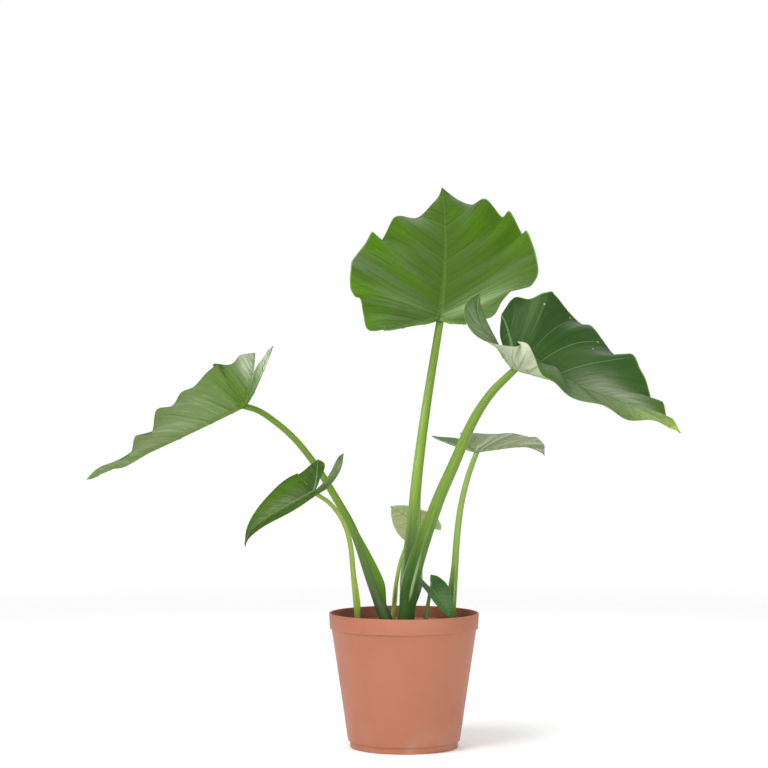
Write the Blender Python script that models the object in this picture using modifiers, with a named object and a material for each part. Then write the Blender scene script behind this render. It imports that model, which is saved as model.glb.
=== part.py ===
"""Potted alocasia: a young elephant's ear with waved blades, in a plain growing pot.

Built in metres, +Z up. The origin is the middle of the pot's underside, and the plant is seen from -Y.
"""
import math

import bmesh
import bpy
import numpy as np

COLLECTION = "potted_alocasia"
CUTTERS = "cutters"
MM = 0.001
GAP = 0.0003

# Pot
POT_HEIGHT = 0.170
POT_TOP_RADIUS = 0.095
POT_FOOT_RADIUS = 0.070
POT_WALL = 0.0022
POT_FLOOR = 0.0030
POT_COVE = 0.0030
COLLAR_HEIGHT = 0.020
COLLAR_STEP = 0.0030
COLLAR_DRAFT = 0.0008
COLLAR_SHOULDER = 2 * POT_WALL
RIM_OUTER_CHAMFER = 0.0010
RIM_INNER_CHAMFER = 0.0006
FOOT_STEP_HEIGHT = 0.007
FOOT_STEP = 0.0015
FOOT_CHAMFER = 0.0015
POT_STEPS = 48
POT_MERGE = 0.00005
DRAIN_COUNT = 6
DRAIN_RING_RADIUS = 0.052
DRAIN_RADIUS = 0.0065

# Soil
SOIL_LEVEL = 0.150
SOIL_DOME = 0.004
SOIL_ROUGHNESS = 0.0016
SOIL_WAVES = (61, 53)
SOIL_WAVE_STARTS = (1.3, -0.4)
SOIL_RIPPLES = (71, 117)
SOIL_RIPPLE_SHARE = 0.6
SOIL_RINGS = 5
SOIL_SPOKES = POT_STEPS // 2
HOLE_DEPTH = 0.034
HOLE_PLAY = 0.0009
HOLE_SIDES = 16

# Blades
LAMINA = 0.0009
VEIN_THICKNESS = 0.0017
RIB_HALF_WIDTH = 0.0042
RIB_FLANK = 0.35
BOSS_REACH = 1.9
COLUMNS = (0.26, 0.50, 0.71, 0.87, 1.0)
STRIP_COLUMNS = (0.5, 1.0)
CLOSEST_ROWS = 0.15
WIDEST_ROWS = 0.45
WAVE_POWER = 3.0
FOLD_PLACES = (-0.4, 0.0, 0.5, 1.0)
MIDRIB_SPAN = (-0.6, 1.02)
MIDRIB_STEPS = 300
KEEL_TAPER = 0.7
FLANK_LIMIT = 0.18
VEIN_BOW = (0.55, 0.38)
RIB_BOW = 0.20
LOBE_REACH = 0.4

# Stalks: the section's angle from its grooved side, then its share of the groove and of the wing
SECTION = ((0, 1.0, 0.0), (18, 0.95, 0.0), (36, 0.80, 0.10), (46, 0.45, 0.45), (52, 0.0, 1.0),
           (57, 0.0, 1.0), (66, 0.0, 0.45), (85, 0.0, 0.10), (110, 0.0, 0.0), (140, 0.0, 0.0),
           (180, 0.0, 0.0))
GROOVE_DEPTH = 0.55
STALK_STEP = 0.028
BURIED = 0.030
COLLAR_ABOVE = 0.003
SHEATH_FOOT = 0.168
JOINT_DEPTH = 0.5

LEFT, RIGHT = 0, 1

# A flat blade: where each vein leaves the midrib, as a share of the length, then where it ends
# on the margin, as shares of the half width and of the length. The back ribs run to the lobes.
GROWN = {
    "front": ((1.00, 0.000, 1.000), (0.93, 0.070, 0.945), (0.68, 0.300, 0.850), (0.41, 0.560, 0.700),
              (0.21, 0.780, 0.520), (0.08, 0.930, 0.310), (0.02, 1.000, 0.110)),
    "back": ((0.00, 0.890, -0.080), (0.22, 0.790, -0.220), (0.58, 0.690, -0.345)),
    "lobe": (0.50, -0.41),
    "sinus": ((0.70, 0.330, -0.287), (0.30, 0.145, -0.125)),
    "web": 0.028,
}
YOUNG = {
    "front": ((1.00, 0.000, 1.000), (0.93, 0.080, 0.940), (0.60, 0.420, 0.780), (0.30, 0.750, 0.540),
              (0.08, 0.960, 0.260)),
    "back": ((0.00, 0.980, 0.000), (0.40, 0.780, -0.260)),
    "lobe": (0.48, -0.38),
    "sinus": ((0.70, 0.310, -0.270), (0.30, 0.142, -0.118)),
    "web": 0.040,
}

# Leaves, in millimetres and degrees. The heading turns from +X towards +Y, the pitch lifts the
# tip, and the roll lifts the left half. The sweep turns the midrib at the back and at the front.
# Each half has its widths and folds at the lobes, the joint, the middle and the tip. The lift
# bends each half's lobe upwards, and the lobes give how long each one is. A wave is a vein
# number and the margin's rise there. Some leaves have a sinus line of their own.
# The route is the stalk's, from the soil up, and the sheath gives the heights where its wings
# are full and where they end, their breadth, and the way that it opens.
LEAVES = {
    "a": {
        "shape": dict(GROWN, sinus=((0.70, 0.370, -0.280), (0.30, 0.170, -0.120))),
        "joint": (48, 86, 548), "length": 292, "half_width": 132, "back": 1.0,
        "heading": 82, "pitch": 40, "roll": -2, "arch": 0, "arch_power": 1.6, "lift": (36, 36),
        "twist": -4, "sweep": (0, 12),
        "widths": ((0.88, 0.97, 0.98, 0.98), (0.90, 1.02, 1.03, 1.03)), "lobes": (1.05, 1.08),
        "folds": ((15, 26, 12, -14), (22, 22, 6, 6)),
        "waves": (((1.3, -7), (2, -13), (2.9, 12), (3.6, -14), (4.0, 14), (4.4, 4), (5.0, 2), (5.5, 4),
                   (6.0, 8), (6.35, -4), (6.8, -8), (7.3, 2), (8, -2), (9, -8)),
                  ((0.8, 0), (1.9, -8), (2.55, 17), (3.1, 3), (3.5, 26), (4.0, 4), (4.4, 24),
                   (5.2, 12), (5.5, 10), (6.0, -4), (6.5, -6), (7, 4), (8, 4), (9, -6))),
        "rib": 5.0, "route": ((4, 18, 155), (7, 22, 208), (15.5, 40, 325), (27, 58, 415)),
        "radii": (9.5, 5.0), "taper": 1.4, "sheath": (205, 330, 9, -75),
    },
    "b": {
        "shape": GROWN, "joint": (-206, 30, 434), "length": 224, "half_width": 112, "back": 0.86,
        "heading": 180, "pitch": -27, "roll": 0, "arch": -5, "arch_power": 1.6, "lift": (46, 38),
        "twist": 0, "sweep": (-9, 26),
        "widths": ((0.9, 1, 1, 1), (0.5, 0.85, 1, 0.9)), "lobes": (0.92, 1.08),
        "folds": ((20, 32, 26, 16), (46, 28, -3, -8)),
        "waves": (((1.4, 5), (2, 0), (2.7, -6), (3.1, 6), (3.6, -7), (4.1, 10), (4.6, -3), (5, 0),
                   (5.5, -9), (6.2, -4), (7.2, 11), (8.1, 0), (9, 4)),
                  ((1, -2), (2, 2), (3, -5), (3.6, 4), (4.2, -5), (5, 4), (6, -5), (7, 4), (8, -18),
                   (9, -6))),
        "rib": 4.6, "route": ((-22, 5, 155), (-41, 7, 209), (-65, 10, 275), (-90, 13, 320),
                              (-114, 18, 358), (-140, 22, 390), (-164, 26, 411), (-187, 29, 426)),
        "radii": (8.5, 3.9), "taper": 2.4, "sheath": (205, 285, 13, 10),
    },
    "c": {
        "shape": dict(GROWN, sinus=((0.70, 0.270, -0.295), (0.30, 0.100, -0.130))),
        "joint": (137, -82, 481), "length": 232, "half_width": 113, "back": 0.84,
        "heading": -24, "pitch": -15, "roll": 18, "arch": 18, "arch_power": 2.6, "lift": (12, 98),
        "twist": -4, "sweep": (-12, -8),
        "widths": ((0.95, 1.1, 0.88, 0.7), (0.66, 0.34, 0.9, 1)), "lobes": (0.74, 1.1),
        "folds": ((44, 34, 10, -8), (-80, 60, 11, 8)),
        "waves": (((1.6, 2), (2, -5), (2.5, 4), (3, -9), (3.5, 6), (3.75, 10), (4, 18), (4.2, 14),
                   (4.4, 0), (4.7, -12), (5.1, -12), (5.5, -12), (5.9, -30), (6.25, -22), (6.6, 8),
                   (7.1, 12), (8.3, 4), (9, 14)),
                  ((1, 0), (1.8, 4), (2.5, -3), (3.2, 8), (3.9, 3), (4.6, -6), (5.2, -24), (5.7, -14),
                   (6.3, 8), (7, 10), (8, 0), (9, 4))),
        "rib": 4.8, "route": ((1, -12, 155), (10, -18, 211), (41, -36, 310), (63, -48, 362),
                              (86, -60, 415), (107, -71, 448)),
        "radii": (10.0, 4.2), "taper": 0.8, "sheath": (205, 310, 4, -140),
    },
    "d": {
        "shape": dict(YOUNG, sinus=((0.75, 0.130, -0.340), (0.30, 0.095, -0.160))),
        "joint": (-113, -70, 327), "length": 122, "half_width": 34, "back": 1.3,
        "heading": 212, "pitch": -23, "roll": -26, "arch": 70, "arch_power": 5.0, "lift": (40, 60),
        "twist": 0, "sweep": (0, 0),
        "widths": ((0.66, 0.86, 1, 1), (0.9, 0.97, 0.8, 0.4)), "lobes": (1.0, 0.74),
        "folds": ((20, 34, 22, 10), (0, 18, 22, 10)),
        "waves": (((2, 1), (4, -1.5)), ((2, -1), (3.4, -2), (4.3, 1.5))),
        "rib": 3.0, "route": ((-58, -32, 155), (-63, -45, 214), (-70, -56, 272), (-79, -62, 294),
                              (-93, -66, 312)),
        "radii": (3.8, 2.6), "taper": 1.0, "sheath": (185, 230, 2, 40),
    },
    "e": {
        "shape": YOUNG, "joint": (94, 40, 375), "length": 124, "half_width": 56, "back": 1.22,
        "heading": 40, "pitch": 4, "roll": -6, "arch": 50, "arch_power": 5.0, "lift": (26, 26),
        "twist": 0, "sweep": (0, 0),
        "widths": ((1, 1, 1, 1), (1, 1, 1, 1)), "lobes": (1.0, 1.0),
        "folds": ((16, 22, 10, 4), (16, 20, 10, 4)),
        "waves": (((2, 1), (4, -1.5), (6, 2)),
                  ((1.3, 2), (2.2, -2), (3, 1), (3.6, -2), (4.5, -2), (5.5, -2))),
        "rib": 3.4, "route": ((61, 29, 155), (64.5, 32, 207), (69, 35, 270), (74, 37, 306),
                              (83, 39, 342)),
        "radii": (5.0, 3.4), "taper": 1.0, "sheath": (185, 235, 3, -140),
    },
    "f": {
        "shape": YOUNG, "joint": (24, 105, 273), "length": 58, "half_width": 29, "back": 1.0,
        "heading": 215, "pitch": 32, "roll": 36, "arch": 8, "arch_power": 1.6, "lift": (20, 20),
        "twist": 0, "sweep": (0, 0),
        "widths": ((1, 1, 1, 1), (1, 1, 1, 1)), "lobes": (1.0, 1.0),
        "folds": ((-26, -6, -6, 0), (-10, -20, -20, -10)),
        "waves": (((2, 1), (4, -1), (5.5, 1)), ((2, -1), (4, 1), (5.5, -1))),
        "rib": 2.4, "route": ((-14, 52, 155), (-9, 70, 204), (2, 88, 244)),
        "radii": (3.0, 2.0), "taper": 1.0, "sheath": (180, 205, 1, -60),
    },
    "g": {
        "shape": YOUNG, "joint": (34, 4, 201), "length": 56, "half_width": 21, "back": 1.0,
        "heading": -58, "pitch": -30, "roll": 0, "arch": 20, "arch_power": 1.6, "lift": (10, 10),
        "twist": 0, "sweep": (0, 0),
        "widths": ((1, 1, 1, 1), (1, 1, 1, 1)), "lobes": (1.0, 1.0),
        "folds": ((20, 22, 16, 8), (20, 22, 16, 8)),
        "waves": (((2, 1), (4, -1), (5.5, 1)), ((2, -1), (4, 1), (5.5, -1))),
        "rib": 2.4, "route": ((27, 3, 155), (31, 4, 182)),
        "radii": (3.0, 2.0), "taper": 1.0, "sheath": (172, 190, 0.6, 150),
    },
}

COLOURS = {
    "pot": (0.42, 0.16, 0.085),
    "soil": (0.035, 0.022, 0.014),
    "blade": (0.075, 0.20, 0.04),
    "stalk": (0.20, 0.38, 0.09),
}
ROUGHNESS = {"pot": 0.55, "soil": 0.95, "blade": 0.38, "stalk": 0.45}


def clear_scene():
    for thing in list(bpy.data.objects):
        bpy.data.objects.remove(thing, do_unlink=True)


def new_collection(name):
    group = bpy.data.collections.new(name)
    bpy.context.scene.collection.children.link(group)
    return group


def material(name, kind):
    made = bpy.data.materials.new(name)
    made.use_nodes = True
    shader = made.node_tree.nodes["Principled BSDF"]
    shader.inputs["Base Color"].default_value = (*COLOURS[kind], 1.0)
    shader.inputs["Roughness"].default_value = ROUGHNESS[kind]
    shader.inputs["Metallic"].default_value = 0.0
    made.diffuse_color = (*COLOURS[kind], 1.0)
    return made


def add_object(name, mesh, group, kind=None):
    thing = bpy.data.objects.new(name, mesh)
    group.objects.link(thing)
    if kind:
        mesh.materials.append(material(name, kind))
    else:
        thing.hide_render = True
        thing.display_type = "WIRE"
    return thing


def mesh_of(name, points, faces):
    mesh = bpy.data.meshes.new(name)
    mesh.from_pydata([tuple(point) for point in points], [], faces)
    mesh.update()
    return mesh


def add_drill(name, radius, depth, centre, group):
    bm = bmesh.new()
    bmesh.ops.create_cone(
        bm, cap_ends=True, segments=HOLE_SIDES, radius1=radius, radius2=radius, depth=depth
    )
    mesh = bpy.data.meshes.new(name)
    bm.to_mesh(mesh)
    bm.free()
    drill = add_object(name, mesh, group)
    drill.location = centre
    return drill


def cut(thing, cutter):
    boolean = thing.modifiers.new(cutter.name, "BOOLEAN")
    boolean.operation = "DIFFERENCE"
    boolean.object = cutter


def pot_outer_radius(height):
    """The wall's outside radius below the collar."""
    under_collar = POT_HEIGHT - COLLAR_HEIGHT
    return POT_FOOT_RADIUS + (POT_TOP_RADIUS - COLLAR_STEP - POT_FOOT_RADIUS) * height / under_collar


def pot_inner_radius(height):
    return pot_outer_radius(height) - POT_WALL


def build_pot(group, cutters):
    """A turned pot with a collar at the rim, a stepped foot and drain holes."""
    under = POT_HEIGHT - COLLAR_HEIGHT
    inside = POT_TOP_RADIUS - POT_WALL
    foot = POT_FOOT_RADIUS - FOOT_STEP
    profile = [
        (0.0, POT_FLOOR),
        (pot_inner_radius(POT_FLOOR) - POT_COVE, POT_FLOOR),
        (pot_inner_radius(POT_FLOOR + POT_COVE), POT_FLOOR + POT_COVE),
        (pot_inner_radius(under), under),
        (inside, under + COLLAR_SHOULDER),
        (inside, POT_HEIGHT - RIM_INNER_CHAMFER),
        (inside + RIM_INNER_CHAMFER, POT_HEIGHT),
        (POT_TOP_RADIUS - RIM_OUTER_CHAMFER, POT_HEIGHT),
        (POT_TOP_RADIUS, POT_HEIGHT - RIM_OUTER_CHAMFER),
        (POT_TOP_RADIUS - COLLAR_DRAFT, under + RIM_OUTER_CHAMFER),
        (POT_TOP_RADIUS - COLLAR_DRAFT - RIM_OUTER_CHAMFER, under),
        (pot_outer_radius(under), under),
        (pot_outer_radius(FOOT_STEP_HEIGHT), FOOT_STEP_HEIGHT + FOOT_STEP),
        (foot, FOOT_STEP_HEIGHT),
        (foot, FOOT_CHAMFER),
        (foot - FOOT_CHAMFER, 0.0),
        (0.0, 0.0),
    ]
    mesh = bpy.data.meshes.new("pot")
    edges = [(i, i + 1) for i in range(len(profile) - 1)]
    mesh.from_pydata([(radius, 0.0, height) for radius, height in profile], edges, [])
    pot = add_object("pot", mesh, group, "pot")
    turn = pot.modifiers.new("turn", "SCREW")
    turn.angle = 2 * math.pi
    turn.steps = POT_STEPS
    turn.render_steps = POT_STEPS
    turn.use_merge_vertices = True
    turn.merge_threshold = POT_MERGE
    for i in range(DRAIN_COUNT):
        x, y = on_circle(DRAIN_RING_RADIUS, (i + 0.5) / DRAIN_COUNT)
        cut(pot, add_drill(f"drain_{i + 1}", DRAIN_RADIUS, 4 * POT_FLOOR, (x, y, 0.0), cutters))


def on_circle(radius, share):
    turn = 2 * math.pi * share
    return radius * math.cos(turn), radius * math.sin(turn)


def circle(radius):
    return [on_circle(radius, j / SOIL_SPOKES) for j in range(SOIL_SPOKES)]


def soil_height(x, y):
    """The soil's top: a low dome, a little lumpy, level where it meets the pot."""
    share = min(math.hypot(x, y) / pot_inner_radius(SOIL_LEVEL), 1.0)
    (wave_x, wave_y), (start_x, start_y) = SOIL_WAVES, SOIL_WAVE_STARTS
    lumps = math.sin(wave_x * x + start_x) * math.cos(wave_y * y + start_y)
    lumps += SOIL_RIPPLE_SHARE * math.sin(SOIL_RIPPLES[1] * y + SOIL_RIPPLES[0] * x)
    return SOIL_LEVEL + (SOIL_DOME + SOIL_ROUGHNESS * lumps) * (1 - share ** 2)


def build_soil(group, cutters):
    """A plug of soil that fills the pot, with a plain hole for each stalk."""
    cove = POT_COVE + GAP
    sides = [
        (pot_inner_radius(POT_FLOOR) - cove, POT_FLOOR + GAP),
        (pot_inner_radius(POT_FLOOR + POT_COVE) - GAP, POT_FLOOR + cove + GAP),
        (pot_inner_radius(SOIL_LEVEL) - GAP, SOIL_LEVEL),
    ]
    rings = []
    for radius, height in sides:
        rings.append([(x, y, height) for x, y in circle(radius)])
    for i in range(1, SOIL_RINGS):
        radius = sides[-1][0] * (1 - i / SOIL_RINGS)
        rings.append([(x, y, soil_height(x, y)) for x, y in circle(radius)])
    points = [point for ring in rings for point in ring]
    points.append((0.0, 0.0, soil_height(0.0, 0.0)))
    faces = [tuple(reversed(range(SOIL_SPOKES)))]
    for i in range(len(rings)):
        for j in range(SOIL_SPOKES):
            a = i * SOIL_SPOKES + j
            b = i * SOIL_SPOKES + (j + 1) % SOIL_SPOKES
            if i == len(rings) - 1:
                faces.append((a, b, len(points) - 1))
            else:
                faces.append((a, b, b + SOIL_SPOKES))
                faces.append((a, b + SOIL_SPOKES, a + SOIL_SPOKES))
    soil = add_object("soil", mesh_of("soil", points, faces), group, "soil")
    for key, leaf in LEAVES.items():
        x, y, _ = leaf["route"][0]
        radius = leaf["radii"][0] * MM + HOLE_PLAY
        centre = (x * MM, y * MM, SOIL_LEVEL)
        cut(soil, add_drill(f"hole_{key}", radius, 2 * HOLE_DEPTH, centre, cutters))


def through(places, values, at):
    """A smooth curve that passes through the values at the places, read at each of the points given."""
    places = np.asarray(places, float)
    values = np.asarray(values, float)
    single = values.ndim == 1
    if single:
        values = values[:, None]
    at = np.clip(np.asarray(at, float), places[0], places[-1])
    i = np.clip(np.searchsorted(places, at, side="right") - 1, 0, len(places) - 2)
    span = (places[i + 1] - places[i])[..., None]
    u = (at - places[i])[..., None] / span
    secant = (values[1:] - values[:-1]) / (places[1:] - places[:-1])[:, None]
    slope = np.vstack([secant[:1], (secant[1:] + secant[:-1]) / 2, secant[-1:]])
    early = values[i] * (2 * u ** 3 - 3 * u ** 2 + 1) + slope[i] * span * (u ** 3 - 2 * u ** 2 + u)
    late = values[i + 1] * (3 * u ** 2 - 2 * u ** 3) + slope[i + 1] * span * (u ** 3 - u ** 2)
    return (early + late)[..., 0] if single else early + late


class Blade:
    """A leaf blade's upper face: a flat outline that is folded, arched and waved about its midrib."""

    def __init__(self, leaf):
        self.leaf = leaf
        self.length = leaf["length"] * MM
        self.half_width = leaf["half_width"] * MM
        self.joint = np.array(leaf["joint"]) * MM
        self.rib = leaf["rib"] * MM
        shape = leaf["shape"]
        back = leaf["back"]
        lobe = (shape["lobe"][0], shape["lobe"][1] * back)
        front = [(0.0, *vein) for vein in shape["front"]]
        rear = [(share, 0.0, x, y * back) for share, x, y in shape["back"]]
        veins = np.array([*front, *rear, (1.0, 0.0, *lobe)])
        self.rib_shares, self.midrib_shares, self.ends = veins[:, 0], veins[:, 1], veins[:, 2:]
        self.lobe = np.array(lobe)
        self.first_back = len(front)
        self.last = len(veins) - 1
        sinus = [(share, x, y * back) for share, x, y in shape["sinus"]]
        self.sinus = np.array([(0.0, 0.0, -shape["web"]), *reversed(sinus), (1.0, *lobe)])
        self.line, self.left, self.up = zip(*(self.run_midrib(lift) for lift in leaf["lift"]))

    def run_midrib(self, lift):
        """The midrib from behind the lobes to the tip, and the directions across it and up from it."""
        leaf = self.leaf
        along = np.linspace(*MIDRIB_SPAN, MIDRIB_STEPS)
        front = np.maximum(along, 0)
        behind = np.maximum(-along / LOBE_REACH, 0)
        rear, fore = leaf["sweep"]
        heading = np.radians(leaf["heading"] + rear * np.minimum(behind, 1) + fore * front)
        droop = leaf["arch"] * front ** leaf["arch_power"]
        pitch = np.radians(leaf["pitch"] - droop - lift * np.sqrt(behind))
        roll = np.radians(leaf["roll"] + leaf["twist"] * front)[:, None]
        level = np.stack([-np.sin(heading), np.cos(heading), 0 * heading], -1)
        level_share = np.cos(pitch)
        ahead = np.stack([np.cos(heading) * level_share, np.sin(heading) * level_share, np.sin(pitch)], -1)
        upright = np.cross(ahead, level)
        self.along = along * self.length
        left = np.cos(roll) * level + np.sin(roll) * upright
        up = np.cos(roll) * upright - np.sin(roll) * level
        steps = np.diff(self.along)[:, None] * (ahead[1:] + ahead[:-1]) / 2
        line = np.vstack([np.zeros(3), np.cumsum(steps, 0)])
        return line - self.at(line, 0.0) + self.joint, left, up

    def at(self, table, y):
        return np.stack([np.interp(y, self.along, table[:, i]) for i in range(3)], -1)

    def place(self, flat, rise, side):
        """A flat point, in shares of the half width and length, moved to its folded place."""
        share = flat[..., 1] * np.where(flat[..., 1] < 0, self.leaf["lobes"][side], 1.0)
        x = flat[..., 0] * self.half_width * through(FOLD_PLACES, self.leaf["widths"][side], share)
        y = share * self.length
        fold = np.radians(through(FOLD_PLACES, self.leaf["folds"][side], share))[..., None]
        outward = self.at(self.left[side], y) * (1 if side == LEFT else -1)
        up = self.at(self.up[side], y)
        face = self.at(self.line[side], y) + x[..., None] * (np.cos(fold) * outward + np.sin(fold) * up)
        return face + rise[..., None] * (np.cos(fold) * up - np.sin(fold) * outward)

    def back_rib(self, share):
        x, y = self.lobe
        return np.stack([x * share + RIB_BOW * share * (1 - share), y * share], -1)

    def flat(self, t, v):
        """The flat point on vein t, from 0 at the tip to the last at the lobe, at v from rib to margin."""
        numbers = np.arange(self.last + 1)
        end = through(numbers, self.ends, t)
        start = self.back_rib(np.interp(t, numbers, self.rib_shares))
        start[..., 1] += np.interp(t, numbers, self.midrib_shares)
        bow = start + (end - start) * np.array(VEIN_BOW)
        v = v[..., None]
        return (1 - v) ** 2 * start + 2 * v * (1 - v) * bow + v ** 2 * end

    def wave(self, t, side):
        waves = [(0.0, 0.0), *self.leaf["waves"][side], (float(self.last), 0.0)]
        return through([number for number, _ in waves], [rise * MM for _, rise in waves], t)

    def point(self, t, v, side):
        return self.place(self.flat(t, v), self.wave(t, side) * v ** WAVE_POWER, side)

    def sinus_flat(self, share, v):
        """The strip behind a back rib, between its point at a share of its run and the sinus margin."""
        margin = through(self.sinus[:, 0], self.sinus[:, 1:], share)
        return self.back_rib(share) * (1 - v[..., None]) + margin * v[..., None]

    def sinus_point(self, share, v, side):
        return self.place(self.sinus_flat(share, v), np.array(0.0), side)

    def thickness(self, flat, column, own):
        """The blade's thickness: a keel along the ribs, a boss over the stalk, its own elsewhere."""
        y = flat[1] * self.length
        end = self.length if y > 0 else self.lobe[1] * self.length
        run = min(y / end, 1.0)
        keel = self.rib * (1 - run) ** KEEL_TAPER + LAMINA * run
        if column == 0:
            return keel
        reach = math.hypot(flat[0] * self.half_width, y) / (self.leaf["radii"][1] * MM)
        boss = (self.rib - LAMINA) * min(max(BOSS_REACH - reach, 0.0), 1.0)
        flank = (keel - LAMINA) * RIB_FLANK if column == 1 else 0.0
        return max(LAMINA + boss, LAMINA + flank, own)


class Sheet:
    """An open surface under construction: points with a thickness each, and triangles."""

    def __init__(self):
        self.points = []
        self.thickness = []
        self.faces = []

    def add(self, point, thickness):
        self.points.append(point)
        self.thickness.append(thickness)
        return len(self.points) - 1

    def bridge(self, one, two, flip):
        for a, b, c, d in zip(one[:-1], two[:-1], two[1:], one[1:]):
            for corners in ((a, b, c), (a, c, d)):
                if len(set(corners)) == 3:
                    self.faces.append(corners[::-1] if flip else corners)


def row_numbers(blade):
    """The vein numbers that get a row: each vein, each wave, and the middle of each wide gap."""
    numbers = [float(i) for i in range(blade.last + 1)]
    for number, _ in blade.leaf["waves"][LEFT] + blade.leaf["waves"][RIGHT]:
        if min(abs(number - other) for other in numbers) > CLOSEST_ROWS:
            numbers.append(float(number))
    numbers.sort()
    between = [(a + b) / 2 for a, b in zip(numbers[:-1], numbers[1:]) if b - a > WIDEST_ROWS]
    return sorted(numbers + between)


def flank_share(start, end, blade):
    """How far along a row the rib's flank ends."""
    size = np.array([blade.half_width, blade.length])
    reach = float(np.linalg.norm((end - start) * size))
    return min(RIB_HALF_WIDTH / max(reach, RIB_HALF_WIDTH), FLANK_LIMIT)


def lay_half(sheet, blade, side, middle):
    """Lay one half's rows of points, sharing those on the midrib, and the strip behind its back rib."""
    rows, strips = [], []
    for t in row_numbers(blade):
        rib_end, margin_end = (blade.flat(np.array(t), np.array(v)) for v in (0.0, 1.0))
        share = float(np.interp(t, np.arange(blade.last + 1), blade.rib_shares))
        vein = VEIN_THICKNESS if t == int(t) else LAMINA
        row = []
        for column, v in enumerate([0.0, flank_share(rib_end, margin_end, blade), *COLUMNS]):
            if column == 0 and t in middle:
                row.append(middle[t])
            elif column > 0 and t in (0.0, float(blade.last)):
                row.append(row[0])
            else:
                flat = blade.flat(np.array(t), np.array(v))
                thickness = blade.thickness(flat, column, vein + (LAMINA - vein) * v)
                row.append(sheet.add(blade.point(np.array(t), np.array(v), side), thickness))
        if share == 0:
            middle[t] = row[0]
        rows.append(row)
        if t >= blade.first_back:
            strips.append([row[0], *lay_strip(sheet, blade, side, row[0], share, middle)])
    for one_row, next_row in zip(rows[:-1], rows[1:]):
        sheet.bridge(one_row, next_row, side == LEFT)
    for one_row, next_row in zip(strips[:-1], strips[1:]):
        sheet.bridge(one_row, next_row, side == RIGHT)


def lay_strip(sheet, blade, side, rib_point, share, middle):
    """The points of one row of the strip between a back rib and the sinus margin."""
    if share == 1.0:
        return [rib_point] * len(STRIP_COLUMNS)
    if share == 0.0 and "web" in middle:
        return middle["web"]
    added = []
    for column, v in enumerate(STRIP_COLUMNS):
        thickness = blade.thickness(blade.sinus_flat(np.array(share), np.array(v)), column + 1, LAMINA)
        added.append(sheet.add(blade.sinus_point(np.array(share), np.array(v), side), thickness))
    if share == 0.0:
        middle["web"] = added
    return added


def blade_sheet(blade):
    sheet = Sheet()
    middle = {}
    for side in (LEFT, RIGHT):
        lay_half(sheet, blade, side, middle)
    return sheet


def thick_object(name, sheet, extra, group, kind=None):
    """A closed blade: its upper face, thickened downwards by each point's own thickness."""
    thing = add_object(name, mesh_of(name, sheet.points, sheet.faces), group, kind)
    thickness = np.array(sheet.thickness) + extra
    weights = thing.vertex_groups.new(name="thickness")
    for i, share in enumerate(thickness / thickness.max()):
        weights.add([i], float(share), "REPLACE")
    shell = thing.modifiers.new("thicken", "SOLIDIFY")
    shell.thickness = float(thickness.max())
    shell.offset = -1.0
    shell.vertex_group = weights.name
    thing.data.shade_smooth()
    return thing


def stalk_line(leaf, blade):
    """The stalk's centre points and directions, upright through the soil and then along its route."""
    x, y, z = (value * MM for value in leaf["route"][0])
    up = blade.at(blade.up[LEFT], 0.0)
    end = blade.joint - up * blade.rib * JOINT_DEPTH
    collar = np.array([x, y, z + COLLAR_ABOVE])
    knots = np.array([collar, *(np.array(point) * MM for point in leaf["route"][1:]), end])
    run = np.concatenate([[0.0], np.cumsum(np.linalg.norm(np.diff(knots, axis=0), axis=1))])
    count = math.ceil(run[-1] / STALK_STEP)
    line = through(run, knots, np.linspace(0, run[-1], count + 1))
    ahead = np.gradient(line, axis=0)
    ahead /= np.linalg.norm(ahead, axis=1)[:, None]
    ahead[0] = (0.0, 0.0, 1.0)
    foot = np.array([x, y, z - BURIED])
    return np.vstack([foot, line]), np.vstack([ahead[0], ahead]), up, end


def step_up(low, high, value):
    share = min(max((value - low) / (high - low), 0.0), 1.0)
    return share * share * (3 - 2 * share)


def sheath_strength(leaf, height):
    """How open the sheath is at a height: nothing in the soil, full above it, nothing at its end."""
    full, end = leaf["sheath"][0] * MM, leaf["sheath"][1] * MM
    return step_up(SHEATH_FOOT, full, height) * (1 - step_up(full, end, height))


def stalk_ring(leaf, centre, ahead, radius):
    """One section: round, or grooved with a wing on each side of the groove within the sheath."""
    strength = sheath_strength(leaf, centre[2])
    turn = math.radians(leaf["sheath"][3])
    towards = np.array([math.cos(turn), math.sin(turn), 0.0])
    towards -= ahead * (towards @ ahead)
    towards /= np.linalg.norm(towards)
    across = np.cross(ahead, towards)
    mirrored = [(-angle, groove, wing) for angle, groove, wing in SECTION[-2:0:-1]]
    points = []
    for angle, groove, wing in [*SECTION, *mirrored]:
        reach = radius * (1 - GROOVE_DEPTH * groove * strength) + leaf["sheath"][2] * MM * wing * strength
        angle = math.radians(angle)
        points.append(centre + reach * (math.cos(angle) * towards + math.sin(angle) * across))
    return points


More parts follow.
